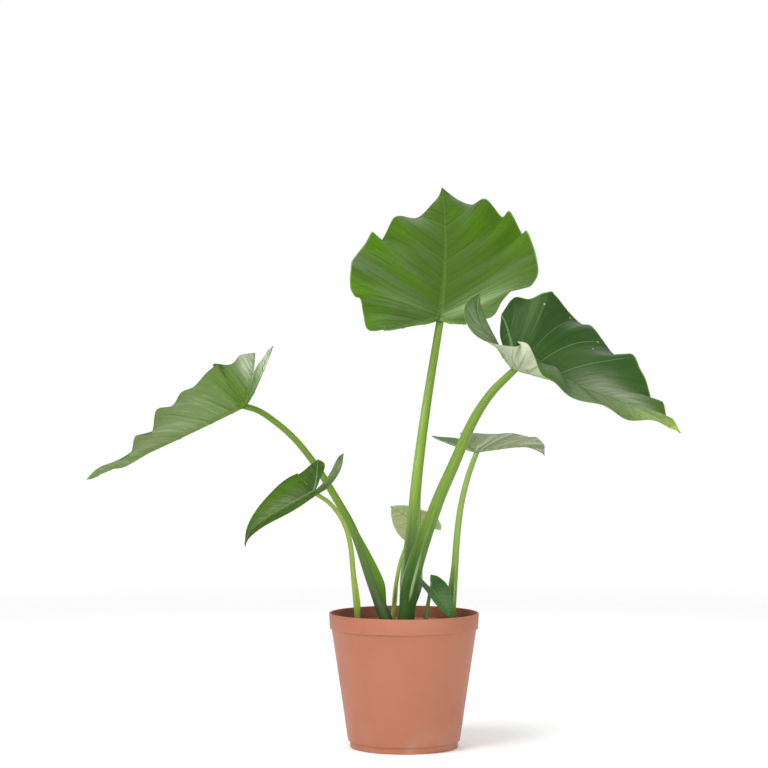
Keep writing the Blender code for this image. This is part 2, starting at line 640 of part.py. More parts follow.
def build_stalk(key, leaf, blade, group, cutters):
    """A lofted stalk whose end is trimmed to lie just under the blade's boss."""
    line, directions, up, end = stalk_line(leaf, blade)
    base, top = (radius * MM for radius in leaf["radii"])
    shares = np.concatenate([[0.0], np.linspace(0, 1, len(line) - 1)])
    rings = []
    for centre, ahead, share in zip(line, directions, shares):
        radius = top + (base - top) * (1 - share) ** leaf["taper"]
        rings.append(stalk_ring(leaf, centre, ahead, radius))
    last = directions[-1]
    rings[-1] = [point + last * ((end - point) @ up) / (last @ up) for point in rings[-1]]
    count = len(rings[0])
    faces = [tuple(reversed(range(count)))]
    for i in range(len(rings) - 1):
        for j in range(count):
            a = i * count + j
            b = i * count + (j + 1) % count
            faces.append((a, b, b + count))
            faces.append((a, b + count, a + count))
    faces.append(tuple(range((len(rings) - 1) * count, len(rings) * count)))
    points = [point for ring in rings for point in ring]
    name = f"stalk_{key}"
    stalk = add_object(name, mesh_of(name, points, faces), group, "stalk")
    stalk.data.shade_smooth()
    cut(stalk, thick_object(f"trim_{key}", blade_sheet(blade), GAP, cutters))
    return stalk


def main():
    clear_scene()
    group = new_collection(COLLECTION)
    cutters = new_collection(CUTTERS)
    build_pot(group, cutters)
    build_soil(group, cutters)
    for key, leaf in LEAVES.items():
        blade = Blade(leaf)
        body = thick_object(f"blade_{key}", blade_sheet(blade), 0.0, group, "blade")
        cut(build_stalk(key, leaf, blade, group, cutters), body)


if __name__ == "__main__":
    main()
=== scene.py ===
"""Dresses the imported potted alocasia: fine leaf blades and stalks, a moulded pot and loose soil."""

import math

import bmesh
import bpy
import numpy as np
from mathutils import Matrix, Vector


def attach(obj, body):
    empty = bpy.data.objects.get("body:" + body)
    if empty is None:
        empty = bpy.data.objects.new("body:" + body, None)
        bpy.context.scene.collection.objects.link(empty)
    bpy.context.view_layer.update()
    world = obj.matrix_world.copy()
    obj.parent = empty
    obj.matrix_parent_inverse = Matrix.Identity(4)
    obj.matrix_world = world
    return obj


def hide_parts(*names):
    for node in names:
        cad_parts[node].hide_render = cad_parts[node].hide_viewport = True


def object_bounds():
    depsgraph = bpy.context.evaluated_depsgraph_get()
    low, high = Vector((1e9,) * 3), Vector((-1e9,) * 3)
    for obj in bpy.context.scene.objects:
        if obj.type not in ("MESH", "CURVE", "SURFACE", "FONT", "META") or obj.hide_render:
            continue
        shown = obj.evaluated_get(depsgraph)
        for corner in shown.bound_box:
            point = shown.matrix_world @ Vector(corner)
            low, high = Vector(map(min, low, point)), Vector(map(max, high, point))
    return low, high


bl_info = {
    "name": "Potted Alocasia",
    "version": (1, 0, 0),
    "blender": (4, 5, 0),
    "location": "View3D > Sidebar > Alocasia",
    "description": "Builds a young elephant's ear plant with waved blades in a growing pot",
    "category": "Add Mesh",
}

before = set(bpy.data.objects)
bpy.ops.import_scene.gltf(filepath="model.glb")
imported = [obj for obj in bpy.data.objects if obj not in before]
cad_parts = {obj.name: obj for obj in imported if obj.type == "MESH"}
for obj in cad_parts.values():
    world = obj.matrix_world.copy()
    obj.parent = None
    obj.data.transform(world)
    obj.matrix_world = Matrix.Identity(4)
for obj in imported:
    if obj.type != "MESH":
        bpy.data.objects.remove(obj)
CAD_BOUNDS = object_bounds()

MM = 0.001
LEFT, RIGHT = 0, 1
GROWN_LEAVES = "abc"

# How a blade is formed, as in the model's source. Shares are of its length, its half width or a vein's run.
GROWN_HALF_WIDTH = 112
FOLD_PLACES = (-0.4, 0.0, 0.5, 1.0)
VEIN_BOW = (0.55, 0.38)
RIB_BOW = 0.20
LOBE_REACH = 0.4
MIDRIB_SPAN = (-0.6, 1.02)
MIDRIB_STEPS = 300
WAVE_POWER = 3.0
KEEL_TAPER = 0.7
BOSS_REACH = 1.9

# The blade's finer relief: how narrow the rib is at its end, how a side vein's ridge falls away, and
# how far out the margin starts to thin, to what share of the blade's thickness.
KEEL_END_WIDTH = 0.55
RIDGE_TAPER = 0.6
THIN_MARGIN_FROM = 0.9
THIN_MARGIN = 0.5

# A blade's mesh: rows between one side vein and the next, closest where the vein stands out, then
# columns over the rib in metres, out to the margin, and over the strip behind a back rib.
ROW_STEPS = (0.0, 0.012, 0.025, 0.045, 0.085, 0.15, 0.24, 0.35,
             0.46, 0.57, 0.68, 0.78, 0.86, 0.92, 0.957, 0.98)
RIB_COLUMNS = (0.0, 0.0009, 0.0018, 0.0027, 0.0036, 0.0048)
RIB_COLUMNS_LIMIT = 0.3
OUTER_COLUMNS = 26
OUTER_CROWDING = 1.25
STRIP_COLUMNS = 9
STRIP_CROWDING = 1.2
SHORTEST_VEIN = 0.00001
# In a grid of points: a point still to be made, and one that its row's point before stands for.
NEW_POINT, POINT_BEFORE = -1, -2
# What each point carries for the looks, and how far the blades keep inside the model's box.
CARRIED = ("vein", "out", "beside", "run", "glow", "bloom", "side")
BOX_INSET = (0.0012, 0.0006, 0.0006)

# A stalk, with its section's groove and wings as degrees from the open side.
SHEATH_FOOT = 0.168
COLLAR_ABOVE = 0.003
BURIED = 0.030
JOINT_DEPTH = 0.6
GROOVE_DEPTH = 0.55
GROOVE_EDGE = (24, 50)
WING_RISE = (40, 52)
WING_FALL = (56, 84)
STALK_SIDES = 72
STALK_STEP = 0.004

# The pot, as in the model's source, and its finer mesh.
POT_HEIGHT = 0.170
POT_TOP_RADIUS = 0.095
POT_FOOT_RADIUS = 0.070
POT_WALL = 0.0022
POT_FLOOR = 0.0030
POT_COVE = 0.0030
COLLAR_HEIGHT = 0.020
COLLAR_STEP = 0.0030
COLLAR_DRAFT = 0.0008
COLLAR_SHOULDER = 2 * POT_WALL
FOOT_STEP_HEIGHT = 0.007
FOOT_STEP = 0.0015
DRAIN_COUNT = 6
DRAIN_RING_RADIUS = 0.052
DRAIN_RADIUS = 0.0065
DRAIN_SIDES = 48
DRILL_LENGTH = 4 * POT_FLOOR
POT_TURN_STEPS = 192
POT_MERGE = 0.00001
ROUNDING_STEPS = 4
ROUNDING_LIMIT = 0.45
SHARP_EDGE = math.radians(35)

# The soil, as in the model's source, and its finer mesh.
SOIL_LEVEL = 0.150
SOIL_DOME = 0.004
SOIL_ROUGHNESS = 0.0016
SOIL_WAVES = (61, 53)
SOIL_WAVE_STARTS = (1.3, -0.4)
SOIL_RIPPLES = (71, 117)
SOIL_RIPPLE_SHARE = 0.6
SOIL_GAP = 0.0003
SOIL_SINK = 0.0004
SOIL_LEVEL_EDGE = 0.004
SOIL_RINGS = 60
SOIL_SPOKES = 180
SOIL_SEED = 7

# What lies on the soil: a piece's length, width and height, its colour as linear light and its seed.
CRUMBS = {
    "bark_crumbs": {"size": (0.0052, 0.0034, 0.0018), "look": "bark_brown", "colour": (0.10, 0.055, 0.028),
                    "roughness": 0.85, "seed": 11},
    "white_grit": {"size": (0.0022, 0.0020, 0.0018), "look": "grit_white", "colour": (0.62, 0.60, 0.56),
                   "roughness": 0.8, "seed": 23},
}
CRUMB_FACES = ((0, 1, 3, 2), (4, 6, 7, 5), (0, 4, 5, 1), (2, 3, 7, 6), (0, 2, 6, 4), (1, 5, 7, 3))
CRUMB_PULL = (0.6, 1.15)
CRUMB_SIZES = (0.5, 1.3)
CRUMB_TILT = 0.35
# A crumb whose random roll, up to a whole turn, is less than this many radians lies flat.
CRUMB_ROLLS_FROM = 4
CRUMB_LIFT = 0.1
CRUMB_WALL_GAP = 0.004
CRUMB_STALK_GAP = 0.002

# The studio: its floor, the camera's place, the photograph's scale and width, and each light's size and
# place. The lights are turned to their target.
FLOOR_SIDES = 96
FLOOR_GAP = 0.0002
CAMERA_X = -0.0254
CAMERA_HEIGHT = 0.460
METRES_PER_PIXEL = 0.00127
PHOTO_PIXELS = 768
SENSOR_MM = 36.0
LIGHTS = {
    "key": ((1.6, 1.6), (-1.3, -1.2, 2.0)),
    "fill": ((1.8, 1.8), (1.9, -1.5, 1.0)),
    "back": ((2.0, 1.0), (0.4, 1.5, 1.9)),
    "low": ((2.2, 0.5), (0.2, -1.7, 0.12)),
}
LIGHT_TARGET = (0.0, 0.0, 0.45)
WHITE = (1.0, 1.0, 1.0)

# A flat blade: where each vein leaves the midrib, as a share of the length, then where it ends
# on the margin, as shares of the half width and of the length. The back ribs run to the lobes.
GROWN = {
    "front": ((1.00, 0.000, 1.000), (0.93, 0.070, 0.945), (0.68, 0.300, 0.850), (0.41, 0.560, 0.700),
              (0.21, 0.780, 0.520), (0.08, 0.930, 0.310), (0.02, 1.000, 0.110)),
    "back": ((0.00, 0.890, -0.080), (0.22, 0.790, -0.220), (0.58, 0.690, -0.345)),
    "lobe": (0.50, -0.41),
    "sinus": ((0.70, 0.330, -0.287), (0.30, 0.145, -0.125)),
    "web": 0.028,
}
YOUNG = {
    "front": ((1.00, 0.000, 1.000), (0.93, 0.080, 0.940), (0.60, 0.420, 0.780), (0.30, 0.750, 0.540),
              (0.08, 0.960, 0.260)),
    "back": ((0.00, 0.980, 0.000), (0.40, 0.780, -0.260)),
    "lobe": (0.48, -0.38),
    "sinus": ((0.70, 0.310, -0.270), (0.30, 0.142, -0.118)),
    "web": 0.040,
}

# Leaves, in millimetres and degrees, as in the model's source. Lift, widths, lobes, folds and waves are
# given for the left half and then the right. Widths and folds have a value at each fold place, a wave is a
# vein number and the margin's rise there, and a sweep turns the midrib's back and then its front. A stalk
# has its route from the soil up, its radii at the base and the joint, and its sheath: the heights where it
# is full and where it ends, the width of its wings and the way it opens.
LEAVES = {
    "a": {
        "shape": dict(GROWN, sinus=((0.70, 0.370, -0.280), (0.30, 0.170, -0.120))),
        "joint": (48, 86, 548), "length": 292, "half_width": 132, "back": 1.0,
        "heading": 82, "pitch": 40, "roll": -2, "arch": 0, "arch_power": 1.6, "lift": (36, 36),
        "twist": -4, "sweep": (0, 12),
        "widths": ((0.88, 0.97, 0.98, 0.98), (0.90, 1.02, 1.03, 1.03)), "lobes": (1.05, 1.08),
        "folds": ((15, 26, 12, -14), (22, 22, 6, 6)),
        "waves": (((1.3, -7), (2, -13), (2.9, 12), (3.6, -14), (4.0, 14), (4.4, 4), (5.0, 2), (5.5, 4),
                   (6.0, 8), (6.35, -4), (6.8, -8), (7.3, 2), (8, -2), (9, -8)),
                  ((0.8, 0), (1.9, -8), (2.55, 17), (3.1, 3), (3.5, 26), (4.0, 4), (4.4, 24),
                   (5.2, 12), (5.5, 10), (6.0, -4), (6.5, -6), (7, 4), (8, 4), (9, -6))),
        "rib": 5.0, "route": ((4, 18, 155), (7, 22, 208), (15.5, 40, 325), (27, 58, 415)),
        "radii": (9.5, 5.0), "taper": 1.4, "sheath": (205, 330, 9, -75),
    },
    "b": {
        "shape": GROWN, "joint": (-206, 30, 434), "length": 224, "half_width": 112, "back": 0.86,
        "heading": 180, "pitch": -27, "roll": 0, "arch": -5, "arch_power": 1.6, "lift": (46, 38),
        "twist": 0, "sweep": (-9, 26),
        "widths": ((0.9, 1, 1, 1), (0.5, 0.85, 1, 0.9)), "lobes": (0.92, 1.08),
        "folds": ((20, 32, 26, 16), (46, 28, -3, -8)),
        "waves": (((1.4, 5), (2, 0), (2.7, -6), (3.1, 6), (3.6, -7), (4.1, 10), (4.6, -3), (5, 0),
                   (5.5, -9), (6.2, -4), (7.2, 11), (8.1, 0), (9, 4)),
                  ((1, -2), (2, 2), (3, -5), (3.6, 4), (4.2, -5), (5, 4), (6, -5), (7, 4), (8, -18),
                   (9, -6))),
        "rib": 4.6, "route": ((-22, 5, 155), (-41, 7, 209), (-65, 10, 275), (-90, 13, 320),
                              (-114, 18, 358), (-140, 22, 390), (-164, 26, 411), (-187, 29, 426)),
        "radii": (8.5, 3.9), "taper": 2.4, "sheath": (205, 285, 13, 10),
    },
    "c": {
        "shape": dict(GROWN, sinus=((0.70, 0.270, -0.295), (0.30, 0.100, -0.130))),
        "joint": (137, -82, 481), "length": 232, "half_width": 113, "back": 0.84,
        "heading": -24, "pitch": -15, "roll": 18, "arch": 18, "arch_power": 2.6, "lift": (12, 98),
        "twist": -4, "sweep": (-12, -8),
        "widths": ((0.95, 1.1, 0.88, 0.7), (0.66, 0.34, 0.9, 1)), "lobes": (0.74, 1.1),
        "folds": ((44, 34, 10, -8), (-80, 60, 11, 8)),
        "waves": (((1.6, 2), (2, -5), (2.5, 4), (3, -9), (3.5, 6), (3.75, 10), (4, 18), (4.2, 14),
                   (4.4, 0), (4.7, -12), (5.1, -12), (5.5, -12), (5.9, -30), (6.25, -22), (6.6, 8),
                   (7.1, 12), (8.3, 4), (9, 14)),
                  ((1, 0), (1.8, 4), (2.5, -3), (3.2, 8), (3.9, 3), (4.6, -6), (5.2, -24), (5.7, -14),
                   (6.3, 8), (7, 10), (8, 0), (9, 4))),
        "rib": 4.8, "route": ((1, -12, 155), (10, -18, 211), (41, -36, 310), (63, -48, 362),
                              (86, -60, 415), (107, -71, 448)),
        "radii": (10.0, 4.2), "taper": 0.8, "sheath": (205, 310, 4, -140),
    },
    "d": {
        "shape": dict(YOUNG, sinus=((0.75, 0.130, -0.340), (0.30, 0.095, -0.160))),
        "joint": (-113, -70, 327), "length": 122, "half_width": 34, "back": 1.3,
        "heading": 212, "pitch": -23, "roll": -26, "arch": 70, "arch_power": 5.0, "lift": (40, 60),
        "twist": 0, "sweep": (0, 0),
        "widths": ((0.66, 0.86, 1, 1), (0.9, 0.97, 0.8, 0.4)), "lobes": (1.0, 0.74),
        "folds": ((20, 34, 22, 10), (0, 18, 22, 10)),
        "waves": (((2, 1), (4, -1.5)), ((2, -1), (3.4, -2), (4.3, 1.5))),
        "rib": 3.0, "route": ((-58, -32, 155), (-63, -45, 214), (-70, -56, 272), (-79, -62, 294),
                              (-93, -66, 312)),
        "radii": (3.8, 2.6), "taper": 1.0, "sheath": (185, 230, 2, 40),
    },
    "e": {
        "shape": YOUNG, "joint": (94, 40, 375), "length": 124, "half_width": 56, "back": 1.22,
        "heading": 40, "pitch": 4, "roll": -6, "arch": 50, "arch_power": 5.0, "lift": (26, 26),
        "twist": 0, "sweep": (0, 0),
        "widths": ((1, 1, 1, 1), (1, 1, 1, 1)), "lobes": (1.0, 1.0),
        "folds": ((16, 22, 10, 4), (16, 20, 10, 4)),
        "waves": (((2, 1), (4, -1.5), (6, 2)),
                  ((1.3, 2), (2.2, -2), (3, 1), (3.6, -2), (4.5, -2), (5.5, -2))),
        "rib": 3.4, "route": ((61, 29, 155), (64.5, 32, 207), (69, 35, 270), (74, 37, 306),
                              (83, 39, 342)),
        "radii": (5.0, 3.4), "taper": 1.0, "sheath": (185, 235, 3, -140),
    },
    "f": {
        "shape": YOUNG, "joint": (24, 105, 273), "length": 58, "half_width": 29, "back": 1.0,
        "heading": 215, "pitch": 32, "roll": 36, "arch": 8, "arch_power": 1.6, "lift": (20, 20),
        "twist": 0, "sweep": (0, 0),
        "widths": ((1, 1, 1, 1), (1, 1, 1, 1)), "lobes": (1.0, 1.0),
        "folds": ((-26, -6, -6, 0), (-10, -20, -20, -10)),
        "waves": (((2, 1), (4, -1), (5.5, 1)), ((2, -1), (4, 1), (5.5, -1))),
        "rib": 2.4, "route": ((-14, 52, 155), (-9, 70, 204), (2, 88, 244)),
        "radii": (3.0, 2.0), "taper": 1.0, "sheath": (180, 205, 1, -60),
    },
    "g": {
        "shape": YOUNG, "joint": (34, 4, 201), "length": 56, "half_width": 21, "back": 1.0,
        "heading": -58, "pitch": -30, "roll": 0, "arch": 20, "arch_power": 1.6, "lift": (10, 10),
        "twist": 0, "sweep": (0, 0),
        "widths": ((1, 1, 1, 1), (1, 1, 1, 1)), "lobes": (1.0, 1.0),
        "folds": ((20, 22, 16, 8), (20, 22, 16, 8)),
        "waves": (((2, 1), (4, -1), (5.5, 1)), ((2, -1), (4, 1), (5.5, -1))),
        "rib": 2.4, "route": ((27, 3, 155), (31, 4, 182)),
        "radii": (3.0, 2.0), "taper": 1.0, "sheath": (172, 190, 0.6, 150),
    },
}

# Each leaf's colours, as linear light. Bright is where light shines through the upper face. The colour after
# it is both the pale of the streaks along an underside and a painted sheen: the grey look of light glancing
# off the wax.
# The undersides of c, e and f are partly their own pale colour and partly painted light, set paler to make up
# for the shade they lie in.
LEAF_COLOURS = {
    "a": {"upper": (0.062, 0.130, 0.014), "bright": (0.080, 0.210, 0.003), "bloom": (0.290, 0.410, 0.180),
          "under": (0.140, 0.260, 0.060), "rim": (0.200, 0.330, 0.060), "vein": (0.095, 0.195, 0.030)},
    "b": {"upper": (0.053, 0.120, 0.017), "bright": (0.120, 0.255, 0.016), "bloom": (0.680, 0.760, 0.580),
          "under": (0.178, 0.272, 0.084), "rim": (0.090, 0.110, 0.060), "vein": (0.130, 0.260, 0.070)},
    "c": {"upper": (0.027, 0.078, 0.015), "bright": (0.480, 0.670, 0.100), "bloom": (0.250, 0.290, 0.195),
          "under": (0.630, 0.700, 0.500), "rim": (0.200, 0.330, 0.060), "vein": (0.180, 0.300, 0.130)},
    "d": {"upper": (0.030, 0.068, 0.007), "bright": (0.070, 0.165, 0.006), "bloom": (0.205, 0.275, 0.115),
          "under": (0.150, 0.260, 0.070), "rim": (0.130, 0.170, 0.090), "vein": (0.230, 0.320, 0.160)},
    "e": {"upper": (0.060, 0.150, 0.030), "bright": (0.130, 0.260, 0.030), "bloom": (0.620, 0.680, 0.500),
          "under": (0.430, 0.510, 0.280), "rim": (0.180, 0.260, 0.110), "vein": (0.240, 0.380, 0.130)},
    "f": {"upper": (0.160, 0.280, 0.060), "bright": (0.350, 0.480, 0.130), "bloom": (0.600, 0.680, 0.380),
          "under": (0.740, 0.850, 0.430), "rim": (0.300, 0.400, 0.150), "vein": (0.300, 0.420, 0.150)},
    "g": {"upper": (0.050, 0.140, 0.035), "bright": (0.090, 0.220, 0.035), "bloom": (0.150, 0.230, 0.110),
          "under": (0.190, 0.320, 0.110), "rim": (0.150, 0.260, 0.080), "vein": (0.150, 0.260, 0.090)},
}
# Each stalk's colours, as linear light: high up, low down beside the sheath, and the sheath's wings.
STALK_COLOURS = {
    "a": {"high": (0.215, 0.350, 0.046), "low": (0.072, 0.130, 0.040), "wing": (0.240, 0.350, 0.120)},
    "b": {"high": (0.125, 0.230, 0.018), "low": (0.075, 0.142, 0.038), "wing": (0.088, 0.213, 0.002)},
    "c": {"high": (0.155, 0.255, 0.034), "low": (0.042, 0.112, 0.015), "wing": (0.260, 0.360, 0.170)},
    "d": {"high": (0.243, 0.330, 0.054), "low": (0.235, 0.340, 0.045), "wing": (0.300, 0.430, 0.100)},
    "e": {"high": (0.222, 0.332, 0.070), "low": (0.155, 0.275, 0.048), "wing": (0.260, 0.380, 0.120)},
    "f": {"high": (0.280, 0.410, 0.080), "low": (0.280, 0.410, 0.050), "wing": (0.300, 0.430, 0.100)},
    "g": {"high": (0.240, 0.380, 0.080), "low": (0.220, 0.360, 0.070), "wing": (0.280, 0.400, 0.120)},
}
SPECK_COLOUR = (0.400, 0.500, 0.110)
SPECK_EDGE = (0.00064, 0.0016)
DUST_COLOUR = (0.42, 0.33, 0.26)
FIBRE_COLOUR = (0.16, 0.10, 0.055)

# The marks on a blade. A side vein's width is in vein spacings and a rib's in metres. Dark and mottle_dark
# are shares of the face's colour, and mottle_light goes from it towards the bright one. The other tones say
# how far a mark goes towards its own colour. Emboss is 1 for sunken veins and -1 for raised ones.
SKINS = {
    "upper": {
        "all": {"dark": 0.60, "mottle_light": 0.3, "mottle": 0.6, "glow": 0.9, "streaks": 0.38,
                "grain": 0.18, "creases": 0.546, "side_veins": 1.0, "margin": 0.75,
                "roughness": (0.42, 0.54), "emboss": 1.0, "relief": 0.6, "ior": 1.22, "specular": 0.4,
                "translucence": 0.14},
        "grown": {"vein_width": 0.030, "rib_width": 0.0044, "streak_scale": 9.0, "mottle_scale": 16.0},
        "young": {"vein_width": 0.050, "rib_width": 0.0018, "streak_scale": 6.0, "mottle_scale": 34.0},
    },
    "under": {
        "all": {"dark": 0.66, "mottle_dark": 0.88, "mottle_scale": 20.0, "glow": 0.75, "streaks": 0.55,
                "grain": 0.12, "creases": 0.35, "side_veins": 1.0, "ribs": 0.5, "margin": 0.75,
                "roughness": (0.46, 0.60), "emboss": -1.0, "relief": 0.5, "ior": 1.25, "specular": 0.4},
        "grown": {"vein_width": 0.035, "rib_width": 0.0050, "streak_scale": 6.0, "pale": 0.30,
                  "translucence": 0.16},
        "young": {"vein_width": 0.070, "rib_width": 0.0026, "streak_scale": 2.4, "pale": 0.75,
                  "translucence": 0.35},
    },
}
# Where a leaf differs from the others: smoother, duller or with fainter veins.
OWN_SKINS = {
    "upper": {
        "a": {"specular": 0.18},
        "b": {"specular": 0.34},
        "c": {"mottle_light": 0.05, "streaks": 0.16, "creases": 0.208, "specular": 0.32},
        "d": {"streaks": 0.26, "creases": 0.338, "side_veins": 0.35},
    },
    "under": {
        "b": {"pale": 0.11, "streaks": 0.26, "creases": 0.12, "relief": 0.22},
        "d": {"side_veins": 0.35},
        "e": {"streaks": 0.85},
    },
}
# Where on the sheath's wing its own colour begins and is full. One stalk's wing is bright all over.
WING_EDGE = (0.45, 0.95)
OWN_WING_EDGES = {"b": (0.08, 0.40)}

# Soft patches on a blade: the side, the vein number, the share from rib to margin, the patch's
# half width in veins and in shares, and its strength. Light shines through these.
GLOW = {
    "a": ((LEFT, 4.2, 0.85, 0.6, 0.28, 1.0), (LEFT, 3.0, 0.80, 0.4, 0.22, 0.6),
          (LEFT, 6.6, 0.92, 0.6, 0.25, 0.9), (LEFT, 8.6, 0.80, 0.8, 0.35, 1.0),
          (LEFT, 0.8, 0.75, 0.7, 0.45, 0.9), (RIGHT, 4.3, 0.9, 0.6, 0.25, 1.0),
          (RIGHT, 2.6, 0.60, 0.35, 0.35, 0.7), (RIGHT, 1.8, 0.45, 0.3, 0.35, 0.6),
          (RIGHT, 3.3, 0.85, 0.3, 0.3, 0.6), (LEFT, 4.6, 0.35, 0.35, 0.3, 0.5),
          (RIGHT, 9.2, 0.8, 0.8, 0.5, 1.0)),
    "b": ((LEFT, 7.0, 0.45, 1.5, 0.9, 1.0), (RIGHT, 7.4, 0.3, 1.6, 0.4, 0.5)),
    "c": ((LEFT, 0.0, 0.5, 1.5, 1.2, 1.0), (RIGHT, 0.0, 0.5, 1.9, 1.2, 1.0),
          (RIGHT, 3.6, 0.8, 1.5, 0.35, 0.07), (RIGHT, 8.6, 0.5, 1.3, 0.8, 0.10),
          (LEFT, 7.6, 0.75, 1.0, 0.4, 0.05)),
    "d": ((RIGHT, 4.4, 0.75, 1.2, 0.3, 1.0), (RIGHT, 2.6, 0.75, 0.9, 0.3, 0.8),
          (LEFT, 3.4, 0.8, 2.0, 0.3, 0.4)),
    "e": ((LEFT, 3.0, 0.5, 1.0, 0.4, 0.4),),
    "f": ((LEFT, 3.0, 0.7, 2.0, 0.5, 0.4),),
    "g": ((RIGHT, 4.0, 0.5, 2.0, 0.5, 0.5),),
}
# Patches of painted sheen, given as above: the grey-green look of light glancing off the waxy face.
SHEEN_PATCHES = {
    "a": ((RIGHT, 6.8, 0.35, 1.0, 0.45, 1.0), (LEFT, 6.4, 0.35, 0.8, 0.4, 0.30)),
    "b": ((LEFT, 3.6, 0.45, 1.7, 0.50, 0.10), (LEFT, 9.2, 0.5, 0.7, 0.9, 0.9),
          (RIGHT, 9.4, 0.5, 0.9, 0.9, 0.8)),
    "c": ((LEFT, 2.6, 0.25, 1.0, 0.36, 0.90), (RIGHT, 2.4, 0.2, 1.0, 0.3, 0.3),
          (RIGHT, 8.6, 0.45, 1.1, 0.6, 0.55), (LEFT, 7.6, 0.6, 1.2, 0.5, 0.12)),
    "d": ((RIGHT, 2.8, 0.20, 1.6, 0.35, 0.6), (LEFT, 3.0, 0.15, 2.4, 0.22, 0.6),
          (LEFT, 6.2, 0.5, 0.9, 0.7, 0.8)),
    "g": ((LEFT, 3.0, 0.4, 1.5, 0.4, 0.5),),
}
# Pale specks on a blade's upper face: the side, the vein number and the share from rib to margin.
SPECKS = {
    "c": ((LEFT, 6.9, 0.84), (LEFT, 6.1, 0.93), (LEFT, 5.0, 0.90), (LEFT, 4.7, 0.74)),
}

# The sockets of a Mix node for two colours and for their mixture.
MIX_UNDER, MIX_OVER, MIX_RESULT = 6, 7, 2

# How masks are drawn. An edge or a fade has its start and its end: as shares of the vein's or rib's own
# width, of the way from rib to margin, of a crease's spacing or of a noise, and near the tip as vein
# numbers. An end width is a share of the width at the start. A noise has its scale, unless that is
# given elsewhere, its detail and its roughness.
VEIN_EDGE = (0.30, 1.10)
VEIN_END_WIDTH = 0.35
VEIN_FADE = (0.80, 0.985)
TIP_FADE = (0.3, 0.9)
RIB_EDGE = (0.60, 1.10)
RIB_END_WIDTH = 0.22
MARGIN_EDGE = (0.982, 0.995)
CREASES_PER_VEIN = 3.0
CREASE_EDGE = (0.02, 0.14)
CREASE_PRESENT = (0.42, 0.60)
CREASE_NOISE = (3.1, 1.0, 0.5)
CREASE_WANDER = 0.5
WANDER_NOISE = (2.3, 2.0, 0.5)
STREAK_EDGE = (0.35, 0.68)
STREAK_NOISE = (4.0, 0.6)
MOTTLE_EDGE = (0.35, 0.68)
MOTTLE_NOISE = (2.0, 0.5)
GRAIN_EDGE = (0.35, 0.7)
ROUGHNESS_EDGE = (0.2, 0.8)
FINE_NOISE = (260.0, 4.0, 0.6)
PALE_EDGE = (0.0, 0.3)
PEBBLE_EDGE = (0.0, 0.25)
# Creases and streaks run over vein number and share to the margin, moved on for the right half, and
# streaks are drawn out along the veins.
SIDE_SHIFT = 37.0
OUTWARD_STRETCH = 0.55
STREAK_STRETCH = (1.0, 0.35, 1.0)
# How far the painted sheen is left in a streak, how far marks stand out, and the relief's depth in metres.
SHEEN_IN_STREAKS = 0.55
MARK_HEIGHTS = {"creases": -0.8, "streaks": -0.5, "veins": -0.8, "ribs": 0.8}
PEBBLE_SCALE = 520.0
PEBBLE_HEIGHT = 0.09
SKIN_RELIEF = 0.0006

# On a stalk: how many streaks lie around and along it, where along it the low colour gives way, how
# dark its streaks and the painted shade in its groove are, and each mark's tone.
STALK_STREAKS = (9.0, 5.0)
STALK_STREAK_NOISE = (2.2, 2.0, 0.5)
STALK_STREAK_EDGE = (0.35, 0.7)
STALK_PALES = (0.05, 0.55)
STALK_DARK_AND_SHADE = 0.62
STALK_TONES = {"streak": 0.35, "groove": 0.55, "wing": 0.85}
STALK_ROUGHNESS = (0.36, 0.48)
STALK_RELIEF = 0.12
STALK_IOR = 1.3
STALK_SUBSURFACE = {"Weight": 0.12, "Radius": (0.4, 0.8, 0.1), "Scale": 0.004}

# On the pot: the noises of its stains and speckle, how dark or light they are and their tones, how high
# dust lies on its wall, and what a stain adds to its roughness.
STAIN_SCALE = 14.0
STAIN_NOISE = (5.0, 0.65)
STAIN_EDGE = (0.45, 0.75)
STAIN_DARK, STAIN_TONE, STAIN_ROUGHNESS = 0.8, 0.25, 0.12
SPECKLE_NOISE = (900.0, 3.0, 0.6)
SPECKLE_EDGE = (0.35, 0.65)
SPECKLE_LIGHT, SPECKLE_TONE = 1.25, 0.10
DUST_HEIGHT = 0.05
DUST_TONE = 0.35
POT_RELIEF = (0.25, 0.0002)

# The soil's lumps, grains and fibres, the crumbs' and the floor's own noises. A relief has its strength
# and its depth in metres.
CLUMP_NOISE = (90.0, 6.0, 0.7)
CLUMP_EDGE = (0.35, 0.7)
CLUMP_LIGHT = 2.6
FIBRE_NOISE = (700.0, 4.0, 0.6)
FIBRE_EDGE = (0.55, 0.75)
FIBRE_TONE = 0.5
FIBRE_HEIGHT = 0.5
DAMP_ROUGHNESS = 0.95
DAMP_RELIEF = (0.8, 0.0015)
CRUMB_NOISE = (300.0, 4.0, 0.6)
CRUMB_EDGE = (0.3, 0.7)
CRUMB_DARK = 0.5
CRUMB_RELIEF = (0.5, 0.0004)
PAPER_NOISE = (3.0, 2.0, 0.5)
PAPER_EDGE = (0.2, 0.8)
PAPER_DARK = 0.985
PAPER_ROUGHNESS = 0.9


